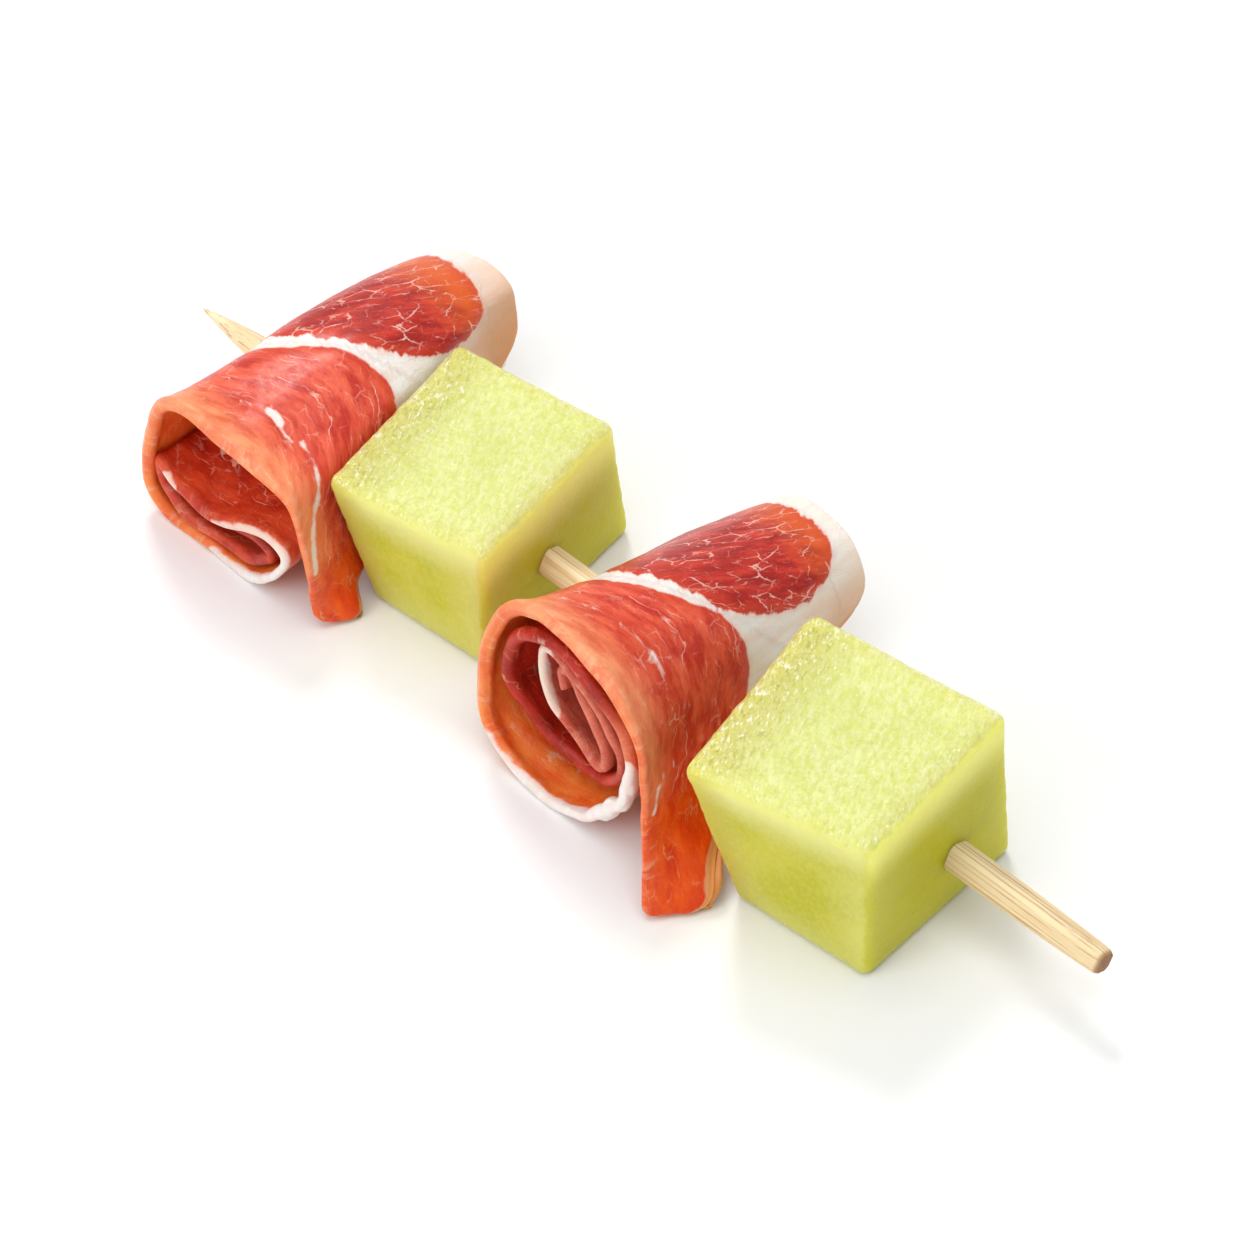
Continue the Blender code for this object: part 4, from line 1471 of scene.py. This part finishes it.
def surface_relief(name, path, along, deep, rim, lean):
    """How far the slice stands out: fat seams lie a little lower than the lean, and the rim flutters."""
    seed, ruffle = SEEDS[name], stretch_of(RUFFLES[name], along)
    seam = SEAM_DEPTH * (ease(-1.3, 1.0, lean) - 1) * ease(2.0, 6.0, rim) * ease(-7.0, -2.5, lean)
    soft = sum(
        high * waves(along, deep * closer, size, seed + number)
        for number, (high, closer, size) in enumerate(SOFT_WAVES)
    )
    flutter = (FLUTTER + ruffle) * waves(along, 0 * deep, 3.2, seed + 2) * np.exp(-rim / FLUTTER_REACH)
    frill = FRILL * ruffle * waves(along, deep, 1.4, seed + 5) * np.exp(-rim / FRILL_REACH)
    lip = np.exp(-(((rim - LIP_PLACE) / LIP_WIDTH) ** 2))
    lip = LIP_RISE * stretch_of(LIPS[name], along) * lip
    crumple = CRUMPLE * ease(*CRUMPLE_PATH, path) * waves(along, deep * 0.3, 3.2, seed + 8)
    return seam + soft + flutter + frill + lip + crumple


print("first roll's lip, 30 mm along:", round(float(stretch_of(LIPS["ham_roll_1"], 30.0)), 2))

# %% [markdown]
# ## The edge at the mouth
# The turns of a rolled slice never end quite level, and the edge that shows has rolled over on
# itself in places. Both are worked out from the place along the path alone, and both fade a few
# millimetres from the rim. The tail's two corners could be cut off, but then the grid would end in
# broken squares. They are rounded by drawing its columns in, which keeps it whole.

# %% Mouth edge
WANDER, INNER_WANDER = 0.25, 0.9
WANDER_SIZE, WANDER_REACH = 8.0, 4.0
BEAD_SIZE, BEAD_SEED = 1.7, 21
FOLD_SIZE, FOLD_SEED = 5.0, 23
THICKEST, THICK_WIDTH = 0.9, 1.0  # how far from the rim the lip is thickest, and over what width
TIP_CORNERS = (1.0, 1.8)
TIP_PATH = 0.08
SOFTEN_TIMES = 60
SOFTEN_SHARE = 0.4


def rim_wander(name, along, path, rim):
    """How far the mouth's edge strays lengthwise: the hidden turns were never laid quite even."""
    amount = WANDER + INNER_WANDER * ease(0.9, 1.3, path)
    wander = waves(along, 0 * rim, WANDER_SIZE, WANDER_SEEDS[name])
    return amount * wander * np.exp(-rim / WANDER_REACH)


def lip_swelling(name, along, path, rim):
    """Where the mouth's edge has rolled over on itself, or is a ruffle of fat, it is thicker."""
    beads = 0.9 + 0.9 * waves(along, 0 * rim, BEAD_SIZE, BEAD_SEED)
    beads = stretch_of(RUFFLES[name], along, 3.0) * beads
    folds = ease(0.95, 1.1, path) * (0.9 - 0.5 * ease(1.7, 2.1, path))
    folds = folds * (0.7 + 0.4 * waves(along, 0 * rim, FOLD_SIZE, FOLD_SEED))
    thick = np.exp(-(((rim - THICKEST) / THICK_WIDTH) ** 2))
    return (stretch_of(LIPS[name], along) + beads + folds) * thick


def round_tip(roll, path, share):
    """Draws the shares in near the tail's tip, so that its two corners are round."""
    mouth_edge, far_edge = read_keys(roll["edges"], np.array([-1.0]))
    from_tip = np.clip((path + 1) / TIP_PATH, 0, 1)
    bow = (1 - np.sqrt(1 - (1 - from_tip) ** 2)) / (far_edge - mouth_edge)
    return share + TIP_CORNERS[0] * bow * (1 - share) - TIP_CORNERS[1] * bow * share


def soften(points, where):
    """Evens out the grid along the path, only where asked, so that a crease becomes a soft bend."""
    for _ in range(SOFTEN_TIMES):
        bend = points[:-2] + points[2:] - 2 * points[1:-1]
        points[1:-1] += SOFTEN_SHARE * where[1:-1, :, None] * bend
    return points


# %% [markdown]
# ## The slice in its place
# Now the parts come together: the grid is bent into the roll and set down beside the cubes, and
# the distances on it are measured before anything else moves it. A chain of modifiers could do the
# same, but each would have to find the edges again, and here one set of distances serves them all.

# %% Slice in its place
def place_slice(roll, path, share):
    """The slice's middle layer in its place, how far it lies from the mouth, and the way lengthwise."""
    u, v, w = slice_point(roll, path, share)
    yaw = math.radians(roll["yaw"])
    x = roll["foot"][0] + u * math.cos(yaw) - v * math.sin(yaw)
    y = roll["foot"][1] + u * math.sin(yaw) + v * math.cos(yaw)
    return np.stack([x, y, w], axis=-1), v, np.array([-math.sin(yaw), math.cos(yaw), 0.0])


def measure_sheet(middle, path):
    """Distances on the slice: along it from the roll's side, and from its rim, far edge and ends."""
    line = middle[:, COLUMNS // 4]
    gone = np.concatenate([[0], np.cumsum(np.linalg.norm(np.diff(line, axis=0), axis=1))])
    along = (gone - np.interp(0, path[:, 0], gone))[:, None] + 0 * path
    from_tip, rim = distances(middle, 0), distances(middle, 1)
    return along, rim, rim[:, -1:] - rim, np.minimum(from_tip, from_tip[-1:] - from_tip)


# %% [markdown]
# ## From the middle layer to the finished slice
# The last steps give the slice its body and hand it over: the crease above the tail is softened,
# the relief is added, both skins are made, and everything that the finish needs to know is kept on
# the points. It could all be one long function, but short ones can be tried out alone.

# %% Ham slices
CLEAR_OF_TABLE = 0.4  # below this height a point is pressed up, and none goes under the table
CREASE_PLACES = (-0.5, -0.25, 0.04, 0.16)  # the path fades in and out of the crease above the tail
LIT_TURNS = {  # how much light reaches the inner turns: path and amount
    "ham_roll_1": ((0.95, 0.0), (1.1, 0.65), (1.6, 0.65), (1.9, 0.2)),
    "ham_roll_2": ((1.85, 0.0), (2.05, 0.85)),
}
STRAW_ALONG = {"ham_roll_1": (-1.0, 28.0), "ham_roll_2": (-4.0, 14.0)}  # along the path, straw to white
STRAW_FROM_FAR_EDGE = (4.0, 18.0)  # the same, in from the far edge


def make_skins(name, middle, path, along, rim, far, ends):
    """The points of both skins, none of them under the table."""
    half = HAM_THICKNESS / 2 * (1 + lip_swelling(name, along, path, rim))
    thick = half * rim_share(np.minimum(rim, far), half) * rim_share(ends, half)
    inwards = sheet_normals(middle) * thick[..., None]
    points = on_both_skins(middle + inwards, middle - inwards)
    low = points[:, 2] < CLEAR_OF_TABLE
    points[low, 2] = CLEAR_OF_TABLE * np.exp(points[low, 2] / CLEAR_OF_TABLE - 1)
    return points


def make_ham(name, roll, material):
    path, share = np.meshgrid(slice_rows(roll), crowd_ends(COLUMNS, *COLUMN_CROWDING), indexing="ij")
    middle, deep, lengthwise = place_slice(roll, path, round_tip(roll, path, share))
    along, rim, far, ends = measure_sheet(middle, path)
    middle = middle + lengthwise * rim_wander(name, along, path, rim)[..., None]
    crease = ease(*CREASE_PLACES[:2], path) * (1 - ease(*CREASE_PLACES[2:], path))
    middle = soften(middle, crease)
    lean, muscle = lean_depth(MUSCLES[name], along, deep, rim, far)
    relief = surface_relief(name, path, along, deep, rim, lean)
    middle = middle - sheet_normals(middle) * relief[..., None]
    points = make_skins(name, middle, path, along, rim, far, ends)
    piece = add_piece(name + "_slice", points, skin_faces(ROWS, COLUMNS), material, name)
    marks = {"lean": lean, "rim": rim, "far": far, "turn": path, "along": along, "deep": deep}
    marks["flow"] = deep - np.interp(along, *zip(*MUSCLES[name]["flow"]))
    marks["muscle"], marks["lit"] = muscle, np.interp(path, *zip(*LIT_TURNS[name]))
    marks["dried"] = (1 - ease(*STRAW_ALONG[name], along)) * (1 - ease(*STRAW_FROM_FAR_EDGE, far))
    both = {label: on_both_skins(values, values) for label, values in marks.items()}
    both["inner"] = on_both_skins(np.ones_like(path), np.zeros_like(path))
    mark_points(piece, both)


# %% [markdown]
# ## Cured ham: where the patterns lie
# Every pattern on the ham follows the slice and not the space round it, or veins would cut through
# the turns. So the materials read two distances kept on its points, along the path and from the
# mouth, as if the slice lay flat on a board. The fibres of the first muscle follow a drawn flow
# line, and those of the second run aslant.

# %% Ham patterns
SECOND_SLANT = math.radians(-121)
MARKS = ("along", "deep", "lean", "rim", "turn", "far", "flow", "inner", "muscle", "lit", "dried")


def flat_place(tree, along, across, layer=0.0):
    """A place on the flat slice."""
    inputs = {"X": along, "Y": across, "Z": layer}
    return add_node(tree, "ShaderNodeCombineXYZ", inputs).outputs[0]


def either(tree, share, one, other):
    """A value that goes from one to the other as share goes from 0 to 1."""
    return plus(tree, times(tree, one, math_node(tree, "SUBTRACT", 1.0, share)), times(tree, other, share))


def stretched(tree, place, scale):
    return add_node(tree, "ShaderNodeMapping", {"Vector": place, "Scale": scale}).outputs[0]


def around_zero(tree, pattern):
    return math_node(tree, "SUBTRACT", pattern, 0.5)


def ham_patterns(tree):
    """The marks and patterns that the ham's colours share."""
    ham = {label: attribute(tree, label) for label in MARKS}
    flat = ham["flat"] = flat_place(tree, ham["along"], ham["deep"])
    inputs = {"Vector": flat, "Rotation": (0.0, 0.0, SECOND_SLANT)}
    slanted = add_node(tree, "ShaderNodeMapping", inputs).outputs[0]
    slant = add_node(tree, "ShaderNodeSeparateXYZ", {0: slanted}).outputs
    ham["length"] = either(tree, ham["muscle"], ham["along"], slant[0])
    ham["across"] = either(tree, ham["muscle"], ham["flow"], slant[1])
    ham["grain"] = flat_place(tree, ham["length"], ham["across"])
    ham["cloudy"] = noise_node(tree, flat, 0.16, 3.0, 0.55)
    ham["mottled"] = grain_node(tree, ham["grain"], (0.20, 0.55, 1.0), 0.0, 5.0, 0.6)
    inputs = {"Vector": stretched(tree, ham["grain"], (0.45, 1.1, 1.0)), "Scale": 1.0}
    bundles = add_node(tree, "ShaderNodeTexVoronoi", inputs)
    ham["tone"] = plus(tree, times(tree, ham["mottled"], 0.88), times(tree, bundles.outputs["Color"], 0.12))
    ham["streaks"] = smooth_range(tree, ham["tone"], 0.28, 0.72)
    ham["inside"] = smooth_range(tree, ham["turn"], 0.95, 1.2)
    ham["in_tail"] = smooth_range(tree, ham["turn"], -0.35, 0.12, 1.0, 0.0)
    return ham


print("marks on the ham:", ", ".join(MARKS))

# %% [markdown]
# ## Cured ham: lean or fat
# The map of muscles gives smooth borders, but a real border is ragged: fibres end at different
# places. Two noises push the depth in and out before it is read, more so at the second muscle,
# whose fibres meet the seam end on. The outlines could be drawn raggedly by hand, but noise does it
# everywhere with a few numbers.

# %% Lean share
def depth_in_lean(tree, ham):
    broad = around_zero(tree, noise_node(tree, ham["flat"], 0.40, 3.0, 0.6))
    ragged = around_zero(tree, grain_node(tree, ham["flat"], (0.22, 0.62, 1.0), -35.0, 3.0, 0.5))
    depth = plus(tree, ham["lean"], times(tree, broad, 0.9))
    jagged = plus(tree, 0.8, times(tree, ham["muscle"], 1.8))
    return plus(tree, depth, times(tree, ragged, jagged))


# %% [markdown]
# ## Cured ham: the reds
# Lean ham is dark red where it is thick. Near the mouth's edge and in the tail, light comes through
# a single layer and turns it orange, and it glows on the inner side of the outermost turn. The two
# muscles have their own reds, and both go warmer at their borders. They could be painted by hand,
# but mixing them by depth and tone keeps the same meat alike wherever it shows.

# %% Ham colours
HAM_COLOURS = {
    "first, dark": (198, 44, 29),
    "first, light": (241, 102, 70),
    "second, dark": (164, 26, 22),
    "second, light": (214, 62, 44),
    "second, warm end": (226, 98, 38),
    "border": (214, 68, 34),
    "orange, dark": (251, 134, 86),
    "orange, light": (255, 168, 116),
    "tail, dark": (218, 48, 1),
    "tail, light": (248, 98, 14),
    "glowing, dark": (238, 90, 26),
    "glowing, light": (254, 142, 60),
    "inside, dark": (142, 8, 5),
    "inside, light": (204, 36, 18),
    "lit fold, dark": (214, 48, 18),
    "lit fold, light": (244, 104, 52),
    "pink fold, dark": (204, 80, 60),
    "pink fold, light": (236, 138, 110),
    "pale edge and painted highlight": (252, 190, 150),
    "inner edge": (190, 50, 36),
    "lit inner edge": (240, 170, 144),
    "vein": (252, 212, 196),
    "warm vein": (250, 180, 132),
    "fat": (252, 246, 242),
    "streaky fat": (248, 230, 220),
    "dry fat": (253, 235, 214),
    "fat, painted shade inside": (244, 212, 188),
    "straw fat": (222, 142, 52),
    "painted crease shade": (206, 166, 138),
    "pink fat": (240, 182, 168),
}
HAM = {label: linear(*colour) for label, colour in HAM_COLOURS.items()}


def two_tone(tree, share, label):
    """The dark shade of a colour, going over to its light shade as share goes from 0 to 1."""
    return blend(tree, share, HAM[label + ", dark"], HAM[label + ", light"])


print("ham colours:", len(HAM))

# %% [markdown]
# ## Cured ham: mixing the reds
# The reds are laid over each other one after another: the muscle's own red, the warm border, the
# orange of the thin rim, the tail, and last the glow of the inner side. One colour ramp would be
# shorter, but each of these follows a distance of its own.

# %% Outer meat
def outer_meat(tree, ham, depth, at_rim):
    tone, streaks = ham["tone"], ham["streaks"]
    red = two_tone(tree, smooth_range(tree, tone, 0.34, 0.66), "first")
    second = two_tone(tree, smooth_range(tree, tone, 0.36, 0.66), "second")
    warm_end = smooth_range(tree, plus(tree, ham["deep"], times(tree, tone, 8.0)), 37.0, 45.0)
    second = blend(tree, warm_end, second, HAM["second, warm end"])
    red = blend(tree, ham["muscle"], red, second)
    red = blend(tree, smooth_range(tree, depth, 0.1, 2.2, 0.55, 0.0), red, HAM["border"])
    thin = times(tree, at_rim, plus(tree, 0.72, times(tree, streaks, 0.24)))
    red = blend(tree, thin, red, two_tone(tree, streaks, "orange"))
    red = blend(tree, ham["in_tail"], red, two_tone(tree, streaks, "tail"))
    first_turn = smooth_range(tree, ham["turn"], 0.9, 1.05, 1.0, 0.0)
    lit_through = times(tree, ham["inner"], first_turn)
    return blend(tree, lit_through, red, two_tone(tree, streaks, "glowing"))


# %% [markdown]
# ## Cured ham: inside the roll
# Inside the roll the meat is painted a deep red as painted shade, apart from the folds that the
# light reaches, which get painted light. Where the slice was cut at the mouth, its edge is paler, in
# short stripes across the edge, partly as a painted highlight along the lit edge. The lamps alone
# leave the folds too even, so the colours also change from turn to turn.

# %% Inner meat
def inner_meat(tree, ham, red):
    streaks, inside = ham["streaks"], ham["inside"]
    # painted shade: the inner turns of the roll are made a deeper red
    meat = blend(tree, times(tree, inside, 0.95), red, two_tone(tree, streaks, "inside"))
    lit = two_tone(tree, streaks, "lit fold")
    lit = blend(tree, smooth_range(tree, ham["turn"], 1.7, 1.95), lit, two_tone(tree, streaks, "pink fold"))
    at_fold = times(tree, ham["lit"], smooth_range(tree, ham["rim"], 3.0, 9.0, 0.85, 0.3))
    meat = blend(tree, at_fold, meat, lit)
    stripes = grain_node(tree, ham["flat"], (0.75, 0.25, 1.0), 12.0, 5.0, 0.7)
    stripes = smooth_range(tree, stripes, 0.48, 0.74, 0.05, 0.75)
    # painted highlight along the lit cut edge, in short stripes across it
    striped_edge_highlight = times(tree, smooth_range(tree, ham["rim"], 0.2, 2.6, 1.0, 0.0), stripes)
    inner_edge = blend(tree, ham["lit"], HAM["inner edge"], HAM["lit inner edge"])
    return blend(tree, striped_edge_highlight, meat, blend(tree, inside, HAM["pale edge and painted highlight"], inner_edge))


# %% [markdown]
# ## Veins of fat
# Fat runs through the lean in two ways: long thin strands between the fibres, and a net where
# muscles branch. Strands are parallel lines that sway, and the net is the borders of cells, bent by
# a noise. Both break off and start again, as a second noise comes and goes, which keeps them from
# looking drawn. Drawing them one by one would take hundreds of curves.

# %% Net of veins
def vein_net(tree, place, width, seed, bending, start, end):
    """Thin branching lines, as the borders of cells, in broken pieces and of uneven width."""
    inputs = {"Vector": place, "Scale": 1.3, "Detail": 4.0, "Roughness": 0.6}
    bend = add_node(tree, "ShaderNodeTexNoise", inputs).outputs["Color"]
    inputs = {0: bend, 1: (bending,) * 3}
    moved = add_node(tree, "ShaderNodeVectorMath", inputs, operation="MULTIPLY").outputs[0]
    bent = add_node(tree, "ShaderNodeVectorMath", {0: place, 1: moved}, operation="ADD").outputs[0]
    inputs = {0: bent, 1: (seed, seed * 2.3, 0.0)}
    bent = add_node(tree, "ShaderNodeVectorMath", inputs, operation="ADD").outputs[0]
    inputs = {"Vector": bent, "Scale": 1.0}
    cells = add_node(tree, "ShaderNodeTexVoronoi", inputs, feature="DISTANCE_TO_EDGE")
    present = smooth_range(tree, noise_node(tree, bent, 0.9, 3.0, 0.6), start, end)
    reach = plus(tree, times(tree, present, width), 0.001)
    line = math_node(tree, "DIVIDE", cells.outputs["Distance"], reach)
    return times(tree, smooth_range(tree, line, 0.2, 1.0, 1.0, 0.0), present)


# %% [markdown]
# ## Strands
# Between the fibres the fat lies in long thin strands. A wave texture gives parallel lines too, but
# all of them break off together. Here each line has a number, and the number picks its own stretch
# of the noise, so each one comes and goes by itself.

# %% Strands
STRAND_SWAY = 5.0  # how far the strands sway, as a count of their spacings
STRAND_LENGTH = 6.25  # millimetres, about the length of the pieces that a strand breaks into
NUMBER_SPACING = 5.17  # how far apart the noise of two neighbouring strands is read


def strands(tree, ham, spacing, width, seed, start, end):
    """Long thin lines side by side, spacing apart and width wide in millimetres, each in broken pieces."""
    place = flat_place(tree, ham["length"], ham["across"], seed)
    sway = times(tree, grain_node(tree, place, (0.10, 0.16, 1.0), 0.0, 4.0, 0.55), STRAND_SWAY)
    count = plus(tree, math_node(tree, "DIVIDE", ham["across"], spacing), sway)
    number = math_node(tree, "FLOOR", count)
    off = math_node(tree, "ABSOLUTE", around_zero(tree, math_node(tree, "FRACT", count)))
    own_length = times(tree, ham["length"], 1 / STRAND_LENGTH)
    own = flat_place(tree, own_length, times(tree, number, NUMBER_SPACING), seed)
    present = smooth_range(tree, noise_node(tree, own, 1.0, 2.0, 0.6), start, end)
    reach = times(tree, plus(tree, times(tree, present, 0.75), 0.25), width / spacing)
    line = math_node(tree, "DIVIDE", off, reach)
    return times(tree, smooth_range(tree, line, 0.25, 1.0, 1.0, 0.0), present)


# %% [markdown]
# ## Strands and nets together
# The first muscle is mostly streaked and the second mostly netted, and each has a coarse and a fine
# pattern of both. One pattern at one size would look printed. The strongest of them counts at each
# place.

# %% All veins
def ham_veins(tree, ham):
    """Where the meat is veined: more strands in the first muscle, more of the net in the second."""
    second = ham["muscle"]
    wide = strands(tree, ham, 2.0, 0.17, 0.0, 0.50, 0.66)
    fine = strands(tree, ham, 1.2, 0.12, 4.0, 0.52, 0.72)
    net = vein_net(tree, stretched(tree, ham["grain"], (0.28, 0.46, 1.0)), 0.055, 8.0, 0.6, 0.43, 0.64)
    fine_net = vein_net(tree, stretched(tree, ham["grain"], (0.60, 0.85, 1.0)), 0.085, 15.0, 0.6, 0.44, 0.74)
    net_share = plus(tree, 0.42, times(tree, second, 0.58))
    line_share = math_node(tree, "SUBTRACT", 1.0, times(tree, second, 0.45))
    lines = times(tree, greater(tree, wide, times(tree, fine, 0.6)), line_share)
    veins = greater(tree, lines, times(tree, net, net_share))
    return greater(tree, veins, times(tree, fine_net, times(tree, net_share, 0.5)))


# %% [markdown]
# ## Fat
# The fat is white with a breath of pink where it meets the lean. Towards the far edge, under the
# skin, it has dried to cream, and near the far edge at the roll's side it is straw-coloured. Inside
# the roll it is darker, as painted shade, and a thin darker line of painted shade runs through it
# where the fat is creased. One plain white would look like plastic, so most of these shades come in
# by how far a place lies from the far edge or from the lean.

# %% Ham fat
FAT_CREASE_PLACE = 7.0  # how far from the far edge the painted shade of the crease lies


def ham_fat(tree, ham, depth):
    flat, far, cloudy = ham["flat"], ham["far"], ham["cloudy"]
    streaky = grain_node(tree, flat, (0.5, 0.12, 1.0), 0.0, 4.0, 0.6)
    fat = blend(tree, smooth_range(tree, streaky, 0.35, 0.7), HAM["fat"], HAM["streaky fat"])
    dry = smooth_range(tree, plus(tree, far, times(tree, cloudy, 6.0)), 3.0, 8.0, 1.0, 0.0)
    fat = blend(tree, times(tree, dry, 0.5), fat, HAM["dry fat"])
    # painted shade: the fat inside the roll is made darker
    fat = blend(tree, times(tree, ham["inside"], 0.7), fat, HAM["fat, painted shade inside"])
    # straw-coloured near the far edge at the roll's side
    fat = blend(tree, times(tree, ham["dried"], 0.95), fat, HAM["straw fat"])
    from_fat_crease = math_node(tree, "SUBTRACT", plus(tree, far, times(tree, cloudy, 3.0)), FAT_CREASE_PLACE)
    # painted shade of a crease: a thin darker line in the fat
    layer = smooth_range(tree, math_node(tree, "ABSOLUTE", from_fat_crease), 0.05, 0.3, 0.25, 0.0)
    fat = blend(tree, layer, fat, HAM["painted crease shade"])
    return blend(tree, smooth_range(tree, depth, -0.9, -0.1, 0.0, 0.3), fat, HAM["pink fat"])


# %% [markdown]
# ## The ham's surface
# All of the slice is moist. The fibres and veins give a fine bump, a coat that comes and goes gives
# the sheen, less of it inside the roll, and a little light goes under the surface, mostly red. The
# fibres could be modelled, but they are finer than the mesh, so a bump shades them.

# %% Ham surface
RED_DEPTH = (1.0, 0.22, 0.08)
HAM_SURFACE = {
    "Roughness": 0.42,
    "Specular IOR Level": 0.22,
    "Coat Roughness": 0.27,
    "Subsurface Weight": 0.3,
    "Subsurface Radius": RED_DEPTH,
    "Subsurface Scale": 0.0015,
}


def ham_bump(tree, ham, veins):
    fine = noise_node(tree, ham["flat"], 2.2, 4.0, 0.6)
    height = plus(tree, times(tree, fine, 0.5), times(tree, ham["mottled"], 0.7))
    height = plus(tree, height, times(tree, veins, 0.25))
    inputs = {"Height": height, "Strength": 0.5, "Distance": 0.0004}
    return add_node(tree, "ShaderNodeBump", inputs).outputs[0]


def ham_wetness(tree, ham):
    wet = smooth_range(tree, noise_node(tree, ham["flat"], 0.9, 4.0, 0.7), 0.3, 0.7, 0.1, 0.5)
    return times(tree, wet, math_node(tree, "SUBTRACT", 1.0, times(tree, ham["inside"], 0.6)))


# %% [markdown]
# ## The ham's finish, put together
# Lean and fat are mixed by the ragged depth, with a border less than half a millimetre wide, and
# the veins lie over the lean. Two materials with a border between faces would show steps there. The
# finish is made once and used for both slices.

# %% Ham finish
def make_ham_finish():
    material, tree, shader = new_material("cured_ham")
    ham = ham_patterns(tree)
    depth = depth_in_lean(tree, ham)
    ragged_rim = plus(tree, ham["rim"], times(tree, ham["cloudy"], 7.0))
    at_rim = smooth_range(tree, ragged_rim, 4.0, 11.0, 1.0, 0.0)
    meat = inner_meat(tree, ham, outer_meat(tree, ham, depth, at_rim))
    veins = ham_veins(tree, ham)
    thin_meat = times(tree, greater(tree, ham["in_tail"], ham["inner"]), 0.3)
    softer = math_node(tree, "SUBTRACT", 0.74, thin_meat)
    vein = blend(tree, greater(tree, ham["in_tail"], at_rim), HAM["vein"], HAM["warm vein"])
    meat = blend(tree, times(tree, veins, softer), meat, vein)
    colour = blend(tree, smooth_range(tree, depth, -0.22, 0.22), ham_fat(tree, ham, depth), meat)
    bump, coat = ham_bump(tree, ham, veins), ham_wetness(tree, ham)
    finish_surface(tree, shader, {"Base Color": colour, "Normal": bump, "Coat Weight": coat}, HAM_SURFACE)
    print(material.name, "has", len(tree.nodes), "nodes")
    return material


ham_finish = make_ham_finish()
for name, roll in HAM_ROLLS.items():
    make_ham(name, roll, ham_finish)
